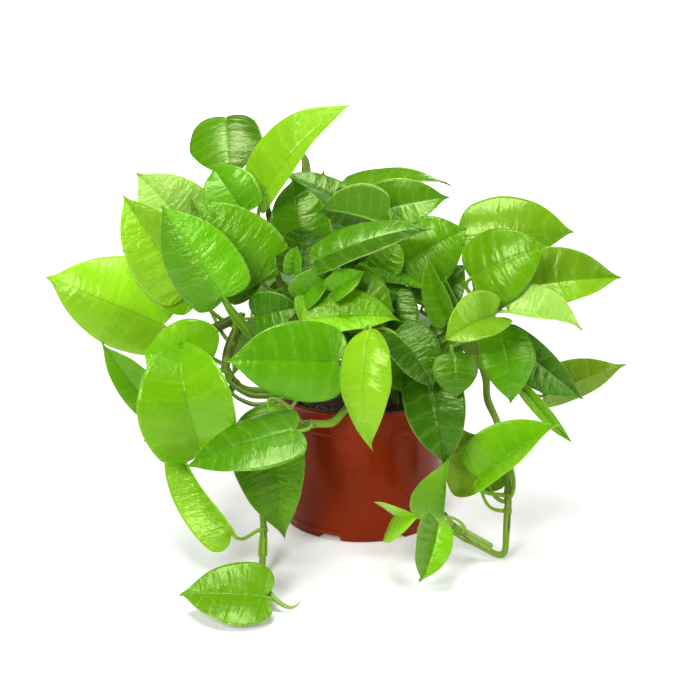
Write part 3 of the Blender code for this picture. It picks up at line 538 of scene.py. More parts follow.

# A leaf: name, vine, place along it, base and tip of the blade, the way its upper side faces
# (azimuth, elevation), width, arch, how far the left and right halves rise, how far each half
# curls, tone, and how much lighter or darker it is (partly its own tone, partly painted light and shade),
# None for a small difference of its own
leafRows = (
    ("leaf_far_left", "vine_left", 5.0, (-17.3, 0.6, 16.8), (-26.95, -0.4, 21.3), (-15, 28),
     6.8, 0.7, (-12, -5), -10, "lime", 0.08),
    ("leaf_top_heart", "vine_top_left", 6.0, (-12.1, 7.5, 34.2), (-11.2, 2.8, 28.8), (-10, 45),
     7.0, 0.5, (-10, -4), -12, "green", -0.2),
    ("leaf_top_long", "vine_top_left", 5.5, (-8.4, 1.5, 27.9), (-0.86, 2.0, 35.5), (-38, 18),
     5.7, 1.1, (2, 10), 15, "lime", -0.08),
    ("leaf_upper_left_back", "vine_top_left", 4.6, (-13.9, 1.2, 24.2), (-19.1, 1.4, 29.9), (-15, 40),
     5.8, 0.8, (10, 10), 10, "pale", None),
    ("leaf_upper_left_middle", "vine_left", 6.4, (-14.4, -2.8, 20.8), (-19.5, -2.4, 28.5), (-15, 25),
     6.2, 0.6, (2, 2), 15, "lime", -0.08),
    ("leaf_left_under", "vine_left", 5.8, (-13.9, -1.6, 20.2), (-20.1, -1.0, 23.7), (0, 25),
     5.4, 0.3, (10, 10), 10, "bright", -0.1),
    ("leaf_upper_left_front", "vine_left", 6.2, (-11.0, -6.0, 20.7), (-15.9, -5.0, 28.0), (-5, 20),
     5.6, 0.4, (-14, -2), -12, "leafy", 0.12),
    ("leaf_upper_left_glossy", "vine_top_left", 4.0, (-8.4, -1.2, 20.9), (-14.4, -0.8, 28.0), (0, 15),
     7.6, 0.5, (-12, 0), -10, "green", 0.05),
    ("leaf_centre_dark", "vine_centre", 4.2, (-5.0, 1.0, 23.5), (-5.9, 3.0, 29.3), (0, 15),
     5.2, 0.5, (8, 0), 10, "leafy", -0.38),
    ("leaf_top_right_flat", "vine_centre", 5.0, (-1.5, 5.0, 28.2), (7.9, 3.5, 28.9), (0, 80),
     5.4, 0.2, (8, 8), 10, "bright", -0.38),
    ("leaf_turned_away", "vine_centre", 4.3, (1.5, -2.2, 26.1), (-3.7, -2.0, 27.2), (170, 20),
     5.4, 0.5, (12, 22), 10, "moss", 0.1),
    ("leaf_centre_right_back", "vine_centre", 3.8, (0.8, 1.0, 26.6), (7.3, 0.0, 28.0), (-5, 20),
     4.6, 0.4, (10, 10), 10, "green", -0.15),
    ("leaf_centre_glossy", "vine_front", 4.0, (-3.8, -4.8, 23.5), (5.5, -5.0, 26.3), (0, 68),
     5.6, 0.4, (8, 2), -6, "leafy", -0.42),
    ("leaf_centre_right", "vine_right_high", 4.4, (3.5, -1.9, 22.8), (8.7, -1.6, 25.6), (0, 25),
     6.0, 0.4, (0, -4), -10, "green", None),
    ("leaf_right_high_back", "vine_right_high", 6.0, (8.7, 3.5, 23.9), (18.7, 2.5, 24.7), (0, 25),
     7.0, 0.6, (0, -8), -10, "lime", -0.38),
    ("leaf_right_high_front", "vine_right_high", 5.3, (8.7, -4.2, 21.9), (14.6, -5.6, 24.9), (-5, 25),
     6.2, 0.6, (-8, -4), -12, "bright", -0.22),
    ("leaf_far_right", "vine_right_high", 5.6, (12.5, -2.2, 20.5), (21.5, -2.6, 21.6), (0, 42),
     6.0, 0.6, (14, -10), 15, "lime", -0.38),
    ("leaf_right_folded", "vine_right_high", 5.0, (11.5, -6.0, 19.6), (17.4, -7.0, 18.5), (5, 38),
     4.8, 0.5, (10, 50), 10, "pale", None),
    ("leaf_right_heart", "vine_right_high", 4.8, (10.0, -7.2, 19.4), (6.0, -9.8, 18.1), (0, 32),
     4.6, 0.6, (30, 22), 15, "lime", -0.28),
    ("leaf_right_hanging", "vine_right_high", 4.6, (11.0, -5.8, 18.3), (11.9, -7.5, 12.2), (10, 30),
     4.6, 0.7, (-4, -4), -12, "leafy", -0.08),
    ("leaf_right_dark", "vine_right", 3.6, (12.0, -2.5, 16.7), (18.8, -3.0, 11.2), (0, 15),
     4.5, 0.3, (24, 10), 10, "deep", None),
    ("leaf_right_underside", "vine_right", 3.8, (15.7, -2.0, 11.2), (22.7, -1.0, 13.7), (170, 0),
     4.0, 0.3, (12, 12), 15, "olive", None),
    ("leaf_front_striped", "vine_front", 3.4, (2.5, -8.2, 18.3), (5.4, -10.4, 14.3), (20, 30),
     4.6, 0.7, (5, 15), 15, "deep", -0.32),
    ("leaf_front_small_heart", "vine_right_trailing", 2.2, (6.8, -9.8, 17.2), (7.0, -10.6, 13.7), (0, 25),
     3.6, 0.5, (-4, -4), -10, "leafy", -0.5),
    ("leaf_front_dark_hanging", "vine_right_trailing", 1.6, (5.1, -8.3, 15.0), (6.5, -10.4, 8.1), (0, 15),
     5.0, 0.7, (15, 15), 10, "deep", -0.2),
    ("leaf_trailing_right_wide", "vine_right_trailing", 8.0, (9.2, -9.0, 6.5), (15.5, -8.5, 11.1), (-15, 30),
     5.8, 0.6, (8, 55), 15, "bright", 0.15),
    ("leaf_trailing_right_back", "vine_right_trailing", 8.4, (9.7, -8.0, 5.1), (7.9, -8.0, 10.5), (170, 10),
     4.2, 0.5, (10, 10), 10, "olive", 0.45),
    ("leaf_trailing_right_folded", "vine_right_trailing", 11.4, (6.4, -9.6, 3.4), (6.5, -11.0, 9.0),
     (-12, 20),
     5.2, 0.6, (4, 60), 12, "bright", None),
    ("leaf_trailing_right_young", "vine_right_trailing", 13.0, (2.4, -12.2, 4.8), (4.1, -14.5, 5.8),
     (-20, 10),
     4.2, 0.5, (30, 30), 20, "lime", None),
    ("leaf_trailing_right_low", "vine_right_trailing", 12.0, (5.7, -13.4, 4.6), (4.3, -15.6, 0.9), (15, 25),
     3.6, 0.5, (12, 30), 10, "bright", -0.1),
    ("leaf_front_wide", "vine_front", 2.4, (-2.0, -9.5, 16.4), (-10.5, -11.0, 16.9), (-10, 20),
     6.2, 0.3, (-10, 0), -8, "leafy", -0.12),
    ("leaf_front_lime", "vine_front", 2.8, (0.45, -10.4, 19.2), (0.6, -12.3, 10.1), (-32, 20),
     4.5, 1.2, (-8, -6), -12, "lime", -0.04),
    ("leaf_front_level", "vine_front", 3.7, (-5.0, -6.5, 18.9), (3.0, -6.8, 19.2), (0, 60),
     4.4, 0.5, (24, -10), 10, "bright", 0.1),
    ("leaf_left_behind", "vine_left", 4.4, (-12.6, -5.2, 14.8), (-18.1, -4.8, 15.9), (-10, 25),
     7.2, 0.4, (10, 10), 10, "bright", 0.15),
    ("leaf_left_big", "vine_left_trailing", 7.2, (-12.8, -9.0, 9.0), (-14.6, -5.2, 17.2), (-5, 32),
     7.4, 3.0, (16, 12), 15, "bright", -0.05),
    ("leaf_left_low", "vine_left", 4.1, (-17.2, -4.0, 10.4), (-21.6, -4.0, 16.5), (-10, 20),
     4.0, 0.5, (12, 12), 10, "green", None),
    ("leaf_left_level", "vine_left_trailing", 5.2, (-5.1, -12.6, 12.0), (-13.4, -14.2, 9.6), (0, 76),
     6.0, 0.3, (-14, -2), 5, "leafy", -0.34),
    ("leaf_left_hanging", "vine_left_trailing", 5.8, (-7.6, -8.0, 12.5), (-6.2, -10.8, 1.8), (5, 10),
     5.8, 0.8, (-4, -10), -12, "green", -0.1),
    ("leaf_left_lower", "vine_left_trailing", 10.0, (-10.3, -12.0, 3.1), (-16.5, -4.6, 8.9), (-5, 20),
     4.8, 0.6, (6, 62), 10, "lime", None),
    ("leaf_on_the_ground", "vine_left_trailing", 14.0, (-7.2, -18.2, 1.25), (-13.45, -18.3, 1.5), (0, 62),
     5.6, 0.2, (4, 4), 8, "bright", -0.27),
    ("leaf_back_left", "vine_back", 3.4, (-5.0, 8.6, 18.5), (-11.0, 12.5, 15.0), (200, 45),
     6.4, 0.8, (10, 10), 10, "bright", None),
    ("leaf_back_right", "vine_back", 3.8, (2.5, 9.0, 20.5), (8.0, 13.0, 18.0), (160, 50),
     6.4, 0.8, (10, 10), 10, "lime", None),
    ("leaf_back_middle", "vine_back", 4.0, (-1.6, 11.0, 21.5), (-2.2, 17.0, 17.5), (180, 40),
     6.8, 1.0, (10, 10), 12, "bright", None),
    ("leaf_back_left_low", "vine_back", 2.4, (-7.0, 6.0, 15.0), (-12.5, 8.5, 10.0), (200, 25),
     6.0, 0.6, (10, 10), 10, "green", None),
    ("leaf_back_right_low", "vine_back", 2.6, (6.5, 7.0, 16.5), (12.0, 10.0, 11.5), (160, 25),
     6.0, 0.6, (10, 10), 10, "green", None),
    ("leaf_back_hanging", "vine_back", 2.0, (0.3, 9.0, 13.6), (0.8, 12.0, 6.8), (178, 20),
     6.0, 0.8, (10, 10), 10, "lime", None),
    ("leaf_back_upright", "vine_back", 3.6, (-3.9, 6.8, 22.5), (-3.4, 7.6, 29.5), (185, 10),
     5.6, 0.5, (12, 12), 10, "green", None),
)
# Small and hidden leaves that fill the middle of the plant
fillRows = (
    ("small_upper_left", "vine_top_left", 5.0, (-9.9, -0.5, 26.8), (-12.6, 1.5, 30.4), (-15, 30),
     4.8, 0.5, (10, 10), 10, "leafy", -0.05),
    ("small_below_glossy", "vine_left", 6.8, (-8.8, -4.2, 18.7), (-4.9, -5.0, 19.7), (0, 25),
     3.6, 0.3, (10, 10), 10, "deep", None),
    ("small_behind_dark", "vine_centre", 4.6, (-1.2, 4.0, 26.7), (-7.0, 6.0, 29.4), (-5, 60),
     3.6, 0.3, (10, 10), 10, "moss", -0.2),
    ("small_top_sliver", "vine_centre", 5.0, (-5.6, 7.0, 27.9), (-5.6, 7.0, 31.6), (75, 10),
     2.4, 0.4, (15, 15), 10, "pale", -0.35),
    ("small_front_behind_lime", "vine_front", 3.2, (2.0, -6.8, 17.6), (3.7, -8.0, 13.2), (0, 20),
     4.4, 0.5, (10, 10), 10, "green", None),
    ("small_centre_level", "vine_front", 3.9, (-1.8, -4.5, 21.2), (2.6, -5.5, 19.4), (0, 35),
     4.4, 0.4, (10, 10), 10, "green", None),
    ("small_centre_dark", "vine_front", 3.0, (1.9, -4.0, 17.7), (3.2, -3.0, 21.7), (0, 20),
     4.8, 0.5, (10, 10), 10, "deep", None),
    ("small_centre_band", "vine_front", 4.0, (-0.2, -2.8, 22.1), (5.6, -3.0, 20.6), (0, 75),
     3.2, 0.2, (8, 8), 10, "moss", None),
    ("small_right_narrow", "vine_right_high", 3.4, (6.8, -5.0, 18.5), (5.2, -4.0, 23.7), (-30, 10),
     2.6, 0.3, (25, 25), 6, "green", None),
    ("small_right_hanging", "vine_right", 4.0, (13.2, -5.5, 12.9), (17.6, -5.5, 8.1), (-30, 20),
     1.9, 0.3, (20, 35), 6, "bright", None),
    ("small_under_dark", "vine_centre", 3.6, (-5.2, -1.0, 21.8), (-4.9, 1.5, 25.4), (0, 20),
     4.6, 0.4, (10, 10), 10, "deep", -0.45),
    ("young_spoon", "vine_front", 3.8, (-5.5, -5.0, 22.5), (-5.3, -4.5, 24.6), (-10, 20),
     1.8, 0.3, (25, 25), 20, "leafy", -0.2),
    ("young_middle", "vine_front", 3.9, (-2.4, -6.3, 21.2), (0.1, -6.3, 22.9), (0, 30),
     2.4, 0.3, (20, 20), 10, "leafy", -0.05),
    ("young_butterfly", "vine_front", 3.7, (-5.0, -5.3, 20.4), (-2.3, -5.3, 23.0), (0, 30),
     3.0, 0.3, (20, 20), 10, "leafy", -0.15),
    ("small_centre_olive", "vine_right_high", 4.2, (1.5, -2.0, 22.1), (3.1, -1.2, 24.4), (0, 20),
     3.0, 0.3, (10, 10), 10, "bright", -0.1),
    ("small_centre_shade", "vine_centre", 3.8, (-1.0, -1.0, 21.8), (1.4, -0.6, 24.6), (0, 20),
     3.6, 0.3, (10, 10), 10, "deep", None),
    ("small_right_side", "vine_right_high", 3.8, (7.7, -3.2, 18.3), (6.7, -3.8, 22.0), (-40, 15),
     2.6, 0.3, (32, 18), 8, "green", None),
    ("small_right_grey", "vine_right_high", 4.7, (9.6, -3.0, 19.6), (12.2, -2.2, 20.2), (10, 35),
     2.8, 0.4, (10, 10), 10, "moss", None),
    ("small_right_under", "vine_right", 2.9, (9.2, -3.4, 16.8), (12.2, -3.2, 12.4), (168, 10),
     3.4, 0.4, (10, 10), 10, "olive", None),
    ("small_left_point", "vine_left", 4.2, (-15.2, -7.0, 10.2), (-17.8, -7.5, 9.1), (-10, 30),
     1.9, 0.2, (20, 20), 8, "moss", 0.2),
    ("small_right_shade", "vine_right_high", 4.0, (5.2, -0.6, 18.8), (8.8, -0.4, 22.4), (0, 20),
     4.6, 0.4, (10, 10), 10, "deep", None),
    ("small_centre_back_shade", "vine_centre", 3.4, (0.2, 1.2, 20.4), (3.6, 1.4, 25.2), (0, 15),
     4.8, 0.4, (10, 10), 10, "deep", None),
    ("small_right_low_shade", "vine_right", 2.4, (5.4, -0.8, 16.2), (8.6, -1.2, 12.6), (0, 20),
     4.2, 0.4, (10, 10), 10, "deep", None),
    ("small_front_shade", "vine_front", 3.0, (-0.9, -4.6, 18.8), (1.6, -5.0, 15.4), (0, 20),
     3.6, 0.4, (10, 10), 10, "deep", None),
    ("small_left_shade", "vine_top_left", 3.4, (-8.2, 0.8, 19.6), (-5.4, 0.6, 16.0), (0, 15),
     4.2, 0.4, (10, 10), 10, "deep", None),
)
# Where a leaf differs from the plain one: halves widens each side, lobes deepens its base, taper
# makes the base round, sides lightens or darkens each half as painted light and shade, cuffs curls
# the lobes up, roll turns it about its midrib, sway bows the midrib, quilt swells it between veins,
# droop hangs the tip, puckered picks the skin with deeper folds, and width (in metres) narrows the blade
# alone
leafHabits = {
    "leaf_far_left": {"halves": (1.05, 1.48), "sides": (0.82, 1.12), "quilt": 0.8, "droop": 0.1},
    "leaf_top_heart": {"halves": (0.9, 1.02), "lobes": 0.5, "taper": 0.5, "sides": (0.62, 1),
        "quilt": 0.3},
    "leaf_top_long": {"halves": (1.14, 0.66), "lobes": 1, "droop": 0},
    "leaf_upper_left_back": {"puckered": True, "halves": (1.05, 1.1)},
    "leaf_upper_left_middle": {"puckered": True, "halves": (0.95, 1), "sides": (1.12, 0.82),
        "quilt": 1.8},
    "leaf_upper_left_front": {"puckered": True, "halves": (1.08, 1.08), "lobes": 0.4,
        "sides": (0.7, 1.06), "quilt": 1.6},
    "leaf_upper_left_glossy": {"puckered": True, "halves": (0.95, 1), "lobes": 0.4, "sides": (0.62, 1.1),
        "quilt": 2.4},
    "leaf_centre_dark": {"quilt": 1.5},
    "leaf_centre_glossy": {"width": 0.048, "lobes": 0.3, "sides": (1.12, 0.7), "quilt": 1.8},
    "leaf_centre_right": {"taper": 0.4},
    "leaf_right_high_back": {"halves": (1.04, 0.7), "lobes": 0.2, "taper": 0.6, "sides": (1.05, 0.8)},
    "leaf_right_high_front": {"halves": (1.06, 0.98), "lobes": 0.4, "sides": (0.92, 1.06)},
    "leaf_far_right": {"halves": (1.02, 0.72), "taper": 0.2, "sides": (0.82, 1.25), "droop": 0},
    "leaf_right_folded": {"halves": (1, 0.85)},
    "leaf_right_heart": {"lobes": 0.9, "sides": (0.9, 1.12), "cuffs": (0.04, 0.14)},
    "leaf_right_hanging": {"halves": (1.14, 0.96), "lobes": 0, "taper": 0.8},
    "leaf_right_dark": {"halves": (0.68, 1.1), "sides": (0.85, 1.1)},
    "leaf_right_underside": {"halves": (0.9, 1.1), "roll": 40},
    "leaf_front_striped": {"puckered": True, "sides": (1.15, 0.85)},
    "leaf_front_small_heart": {"halves": (1.05, 0.9), "lobes": 0.2, "taper": 0.6},
    "leaf_trailing_right_wide": {"lobes": 0.2},
    "leaf_trailing_right_back": {"halves": (1.12, 1.5)},
    "leaf_trailing_right_folded": {"halves": (1, 0.3)},
    "leaf_trailing_right_young": {"lobes": 2.6},
    "leaf_trailing_right_low": {"halves": (0.75, 1.38), "taper": 0.4, "sides": (1.25, 0.7)},
    "leaf_front_wide": {"halves": (1.04, 1), "lobes": 0.7, "sides": (1.08, 0.9), "cuffs": (0, 0.05),
        "sway": 0.02},
    "leaf_front_lime": {"halves": (0.96, 1.08), "lobes": 0, "taper": 1, "cuffs": (0.12, 0)},
    "leaf_front_level": {"puckered": True, "halves": (1.15, 0.9), "lobes": 0.3, "sides": (0.85, 1.2),
        "cuffs": (0.05, 0)},
    "leaf_left_big": {"halves": (1.05, 1.05), "lobes": 0.35, "taper": 0.4, "sides": (0.92, 1.06),
        "quilt": 0.8},
    "leaf_left_low": {"halves": (0.72, 1)},
    "leaf_left_level": {"sides": (1.05, 0.85), "cuffs": (0, 0.05), "quilt": 0.6},
    "leaf_left_hanging": {"puckered": True, "halves": (0.82, 1.22), "lobes": 0, "taper": 0.8,
        "sides": (1.12, 0.84), "quilt": 2.2},
    "leaf_left_lower": {"puckered": True, "halves": (1, 0.95)},
    "leaf_on_the_ground": {"halves": (0.97, 0.9), "lobes": 0.9, "quilt": 1.5},
    "small_right_hanging": {"width": 0.014},
}

# Sheaths and loose stalks
sheathLook = {"ribs": 5, "rib": 0.10, "sides": 20}
# Leaf sheaths and bare stalks: name, route, half widths along it, flatness, colour
sheathRows = (
    ("sheath_upper_left", ((-11.3, -5.7, 20.8), (-10.5, -5.3, 19.3), (-9.6, -4.7, 17.9), (-8.9, -4.1, 16.5)),
     (0.16, 0.36, 0.40, 0.04), 0.45, (0.16, 0.40, 0.008)),
    ("sheath_right_heart", ((12.4, -4.2, 20.2), (11.3, -5.0, 19.9), (10.1, -6.0, 19.0)),
     (0.20, 0.28, 0.14), 0.7, (0.30, 0.46, 0.06)),
    ("sheath_right_hanging", ((7.4, -4.6, 16.3), (8.5, -5.2, 17.1), (9.8, -5.7, 17.8)),
     (0.12, 0.26, 0.20), 0.6, (0.28, 0.46, 0.06)),
    ("sheath_trailing_low", ((10.2, -10.55, 1.25), (8.6, -10.85, 2.35), (7.2, -10.8, 3.3), (6.5, -10.1, 4.1)),
     (0.34, 0.34, 0.24, 0.10), 0.8, (0.28, 0.44, 0.07)),
    ("sheath_trailing_left", ((-7.9, -10.2, 3.4), (-7.9, -11.2, 2.5), (-7.9, -12.3, 1.42)),
     (0.10, 0.30, 0.36), 0.95, (0.22, 0.42, 0.03)),
    ("stalk_old_left", ((-14.4, -3.7, 16.4), (-12.6, -3.3, 17.3), (-10.6, -2.9, 18.2)),
     (0.30, 0.40, 0.42), 0.8, (0.070, 0.105, 0.012)),
    ("stalk_old_low", ((-11.5, -3.9, 14.0), (-11.0, -3.6, 15.8), (-10.2, -2.9, 17.7)),
     (0.28, 0.46, 0.44), 0.9, (0.075, 0.11, 0.012)),
    ("stalk_rim_left", ((-11.3, -4.2, 14.6), (-11.0, -5.3, 13.6), (-9.4, -6.1, 12.7), (-8.0, -5.8, 12.4),
                        (-6.2, -4.6, 12.1), (-5.0, -3.4, 11.0)),
     (0.12, 0.16, 0.22, 0.22, 0.20, 0.2), 0.85, (0.17, 0.29, 0.03)),
    ("stalk_rim_low", ((-10.4, -4.6, 13.0), (-10.6, -5.8, 12.6), (-9.0, -6.6, 12.0), (-7.4, -6.2, 11.95),
                       (-5.8, -4.6, 12.0), (-4.6, -3.6, 10.9)),
     (0.12, 0.16, 0.22, 0.22, 0.20, 0.2), 0.85, (0.20, 0.34, 0.04)),
    ("stalk_rim_pale", ((-5.6, -9.2, 12.6), (-4.9, -9.4, 13.7), (-4.0, -8.9, 14.4), (-2.8, -8.0, 14.6)),
     (0.12, 0.15, 0.15, 0.10), 0.9, (0.30, 0.48, 0.07)),
    ("stalk_loop_right", ((10.2, -8.1, 5.5), (10.7, -8.3, 4.7), (11.5, -8.5, 4.3), (12.1, -8.6, 5.0),
                          (12.2, -8.5, 6.2), (11.9, -8.3, 7.7)),
     (0.12, 0.15, 0.17, 0.17, 0.16, 0.12), 0.9, (0.30, 0.44, 0.07)),
    ("shoot_curled", ((-7.0, -17.4, 1.2), (-6.3, -18.0, 0.75), (-5.6, -18.3, 0.45), (-5.0, -18.2, 0.45),
                      (-4.6, -17.9, 0.75)),
     (0.15, 0.17, 0.14, 0.08, 0.02), 0.8, (0.30, 0.50, 0.10)),
)


def makeSheath(row, skins):
    # a squeezed tube on a smooth curve whose width follows the table; ribs run lengthwise
    name, points, widths, flatness, colour = row
    place = np.linspace(0, len(points) - 1, 10 * (len(points) - 1) + 1)
    route = curveThrough(np.array(points) * cm, place)
    width = np.maximum(curveThrough(np.array(widths)[:, None] * cm, place), 0.0002)
    turn = np.linspace(0, 2 * np.pi, sheathLook["sides"], endpoint=False)
    ribs = 1 + sheathLook["rib"] * np.cos(sheathLook["ribs"] * turn)
    grid = tubeGrid(route, width * ribs, sheathLook["sides"], np.full(len(place), flatness))
    solid, faces = ringSolid(grid)
    shade = np.tile(0.85 + 0.25 * np.cos(5 * turn), len(place))
    paint = np.array(colour) * np.append(shade, (1, 1))[:, None]
    return newPiece("growing_" + name, solid, faces, skins, None, paint, ringUv(turn / roundTurn, place))


# Vines
vineLook = {"foot": 0.0034, "tip": 0.0024, "swell": 0.34, "sides": 20, "rings": 14, "ridge": 0.035,
            "green": (0.17, 0.31, 0.02), "old": (0.085, 0.12, 0.02), "scar": (0.085, 0.045, 0.014)}


def vineRadius(place, last):
    # a straight taper from the foot to the tip
    return vineLook["foot"] + (vineLook["tip"] - vineLook["foot"]) * place / last


def makeVine(name, points, skins, nodesAt):
    # a tapering tube on a smooth curve from just inside the soil, with shallow ridges lengthwise;
    # it swells in a collar at each node, is darker toward its foot, and a brown scar rings it on
    # each side of a node
    points = np.asarray(points, float) * cm
    points[0][2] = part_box("soil")[1][2] - 0.004
    last = len(points) - 1
    place = np.linspace(0, last, last * vineLook["rings"] + 1)
    collar = np.clip(sum(bump(place, k, 0.075) for k in nodesAt), 0, 1)
    radius = vineRadius(place, last) * (1 + vineLook["swell"] * collar + 0.05 * np.sin(place * 5.1))
    turn = np.linspace(0, 2 * np.pi, vineLook["sides"], endpoint=False)
    ridges = 1 + vineLook["ridge"] * np.cos(5 * turn + 0.3) * (1 - collar[:, None])
    grid = tubeGrid(curveThrough(points, place), radius[:, None] * ridges, vineLook["sides"],
                    start=np.array((0.0, 0.0, 1.0)))
    solid, faces = ringSolid(grid)
    scars = sum(bump(place, k - 0.06, 0.022) + 0.7 * bump(place, k + 0.07, 0.02) for k in nodesAt)
    scar = 0.85 * np.clip(scars, 0, 1)[:, None]
    age = 0.7 * np.exp(-place / 2.6)[:, None]
    green, old, brown = (np.array(vineLook[key]) for key in ("green", "old", "scar"))
    paint = (green * (1 - age) + old * age) * (1 - scar) + brown * scar
    paint = np.vstack([np.repeat(paint, vineLook["sides"], axis=0), brown, brown])
    uv = ringUv(np.linspace(0, 1, vineLook["sides"]), place)
    return newPiece("growing_" + name, solid, faces, skins, None, paint, uv)


dryLook = {"perNode": 3, "length": (0.35, 0.75), "half": 0.00034, "stand": 1.06, "rings": 9, "sides": 5,
           "dark": (0.055, 0.026, 0.010), "light": (0.16, 0.095, 0.045)}


def makeDryScraps(name, points, nodesAt, material, seed):
    # torn edges of old sheaths: thin strips that start at a node and lie along the vine's side
    local = np.random.default_rng(seed)
    points = np.asarray(points, float) * cm
    last, rings = len(points) - 1, dryLook["rings"]
    parts = []
    for spot in np.repeat(nodesAt, dryLook["perNode"]):
        place = np.clip(spot + np.linspace(-0.05, local.uniform(*dryLook["length"]), rings), 0, last)
        route = curveThrough(points, place)
        tangent = unit(np.gradient(route, axis=0) + 1e-9)
        side = unit(np.cross(tangent, local.normal(size=3)))
        lift = dryLook["stand"] + 0.25 * np.linspace(0, 1, rings) ** 3 * local.uniform(0, 1)
        path = route + (vineRadius(place, last) * lift)[:, None] * side
        half = dryLook["half"] * np.sin(np.linspace(0.25, np.pi - 0.05, rings)) * local.uniform(0.6, 1.4)
        if place[-1] - place[0] > 0.2:
            parts.append(ringSolid(tubeGrid(path, half, dryLook["sides"])))
    return newPiece("dry_" + name, *gather(parts), [material])


def turned(radii, heights, turn):
    # points at each radius and height, all the way round the Z axis
    r, z, t = np.broadcast_arrays(radii, heights, turn)
    return np.stack([r * np.cos(t), r * np.sin(t), z], -1)


# Pot
potLook = {
    "sections": 240,
    "base": 0.072, "wall": 0.0016, "floor": 0.0046, "wallTop": 0.0745,
    "bandFoot": 0.0760, "bandHeight": 0.094, "bandSlope": 0.021,
    "notches": 8, "notchWidth": 0.020, "notchHeight": 0.0045, "notchDepth": 0.010,
    "ridge": ((0.0002, 0.0062), (0.0005, 0.0068), (0.0007, 0.0075), (0.0005, 0.0082), (0.0002, 0.0088)),
    # the rim's round lip: in from the rim, down from the top
    "lip": ((0.0005, 0.0024), (0.0001, 0.0017), (0, 0.0011), (0.0001, 0.0005), (0.0005, 0.0001), (0.0010, 0),
            (0.0016, 0.0002), (0.0020, 0.0010), (0.0022, 0.006)),
    "colour": (0.225, 0.020, 0.003), "shaded": (0.165, 0.013, 0.002), "scuffed": (0.27, 0.045, 0.015),
    "sheen": (1.0, 0.30, 0.16), "gloss": 0.20, "specular": 0.35, "glow": 0.06,
}


def potMaterial():
    # broad clouds of a darker tone, painted as leaf shadow, paler and rougher scuffs, and a faint grain
    material, tree, shader, spot = newMaterial("potPlastic")
    broad = noiseNode(tree, spot, 14.0, 3.0)
    grain = noiseNode(tree, spot, 900.0, 2.0)
    scuff = noiseNode(tree, spot, 240.0, 5.0, 0.7)
    # the darker clouds are painted shadow of the leaves on the pot
    leafShadowClouds = spanNode(tree, broad, 0.3, 0.7, 0.0, 0.5)
    colour = mixColour(tree, leafShadowClouds, potLook["colour"], potLook["shaded"])
    colour = mixColour(tree, spanNode(tree, scuff, 0.62, 0.80, 0.0, 0.22), colour, potLook["scuffed"])
    rough = spanNode(tree, scuff, 0.35, 0.75, potLook["gloss"] - 0.02, potLook["gloss"] + 0.16)
    finishShader(tree, shader, {
        "Base Color": colour, "Roughness": rough, "Specular IOR Level": potLook["specular"],
        "Specular Tint": potLook["sheen"], "Subsurface Weight": potLook["glow"],
        "Subsurface Radius": (0.002, 0.0005, 0.0002),
        "Normal": bumpNode(tree, grain, 0.00004, 0.3, bumpNode(tree, broad, 0.0012, 0.25))})
    return material


def makePot(material):
    # an outline of (radius, height) turned about Z; inside each notch the foot steps in and up
    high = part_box("pot")[1]
    rim, top = high[0], high[2]
    base, wall, floor = potLook["base"], potLook["wall"], potLook["floor"]
    wallTop, bandFoot, band = potLook["wallTop"], potLook["bandFoot"], potLook["bandHeight"]
    step = 2 * np.pi / potLook["notches"]
    halfNotch = potLook["notchWidth"] / 2 / base
    centres = (np.arange(potLook["notches"]) + 0.5) * step
    edges = centres[:, None] + np.array([side * halfNotch + e for side in (-1, 1) for e in (-0.0015, 0.0015)])
    turn = np.linspace(0, 2 * np.pi, potLook["sections"], endpoint=False)
    turn = np.sort(np.concatenate([turn, edges.ravel()]))
    away = np.abs((turn % step) - step / 2)
    cut = (away < halfNotch) * np.clip((halfNotch - away) / 0.02, 0, 1) ** 0.4
    inner = base - cut * potLook["notchDepth"]
    lift = cut * potLook["notchHeight"]
    slopeAt = np.linspace(0.013, band - 0.0016, 14)
    bandAt = np.linspace(0.0025, top - band - 0.0030, 8)
    outline = [(0.004, 0), (0.03, 0), (inner - 0.0012, 0), (inner - 0.0003, 0.0001), (inner, 0.0005),
               (inner, np.maximum(lift - 0.0004, 0.0006)), (inner + 0.0002 * cut, np.maximum(lift, 0.0008)),
               (base + 0.0001, np.maximum(lift, 0.0010)), (base + 0.0002, np.maximum(lift + 0.0003, 0.0016))]
    outline += [(base + r, z) for r, z in potLook["ridge"]]
    outline += [(base + 0.0002 + (wallTop - base - 0.0002) * z / band, z) for z in slopeAt]
    outline += [(wallTop, band - 0.0007), (wallTop + 0.0004, band - 0.0001),
                (bandFoot - 0.0004, band + 0.0002), (bandFoot, band + 0.0009)]
    outline += [(bandFoot + (rim - 0.0008 - bandFoot) * z / potLook["bandSlope"], band + z) for z in bandAt]
    outline += [(rim - inward, top - down) for inward, down in potLook["lip"]]
    outline += [(wallTop - wall + 0.0012, band + 0.004), (wallTop - wall, band - 0.001),
                (base - wall, floor + 0.0002), (base - wall - 0.001, floor), (0.03, floor), (0.004, floor)]
    r, z = (np.array([np.broadcast_to(pair[k], turn.shape) for pair in outline]) for k in (0, 1))
    return newPiece("pot_shell", *ringSolid(turned(r, z, turn)), [material])


# Soil
soilLook = {"dark": (0.018, 0.011, 0.007), "light": (0.055, 0.034, 0.020), "dust": (0.13, 0.085, 0.05),
            "crumbTones": ((0.03, 0.018, 0.010), (0.085, 0.05, 0.028)),
            "gritTones": ((0.55, 0.52, 0.46), (0.36, 0.32, 0.27)),
            "strandTones": ((0.32, 0.22, 0.11), (0.16, 0.10, 0.05)),
            "rough": 0.95, "sections": 160, "rings": 46, "crumbs": 520, "crumbSize": (0.0007, 0.0021),
            "grit": 46, "gritSize": (0.0005, 0.0011), "strands": 150, "strandPoints": 7,
            "strandHalf": (0.00010, 0.00026),
            "reach": 0.071}     # how far from the axis a strand may lie


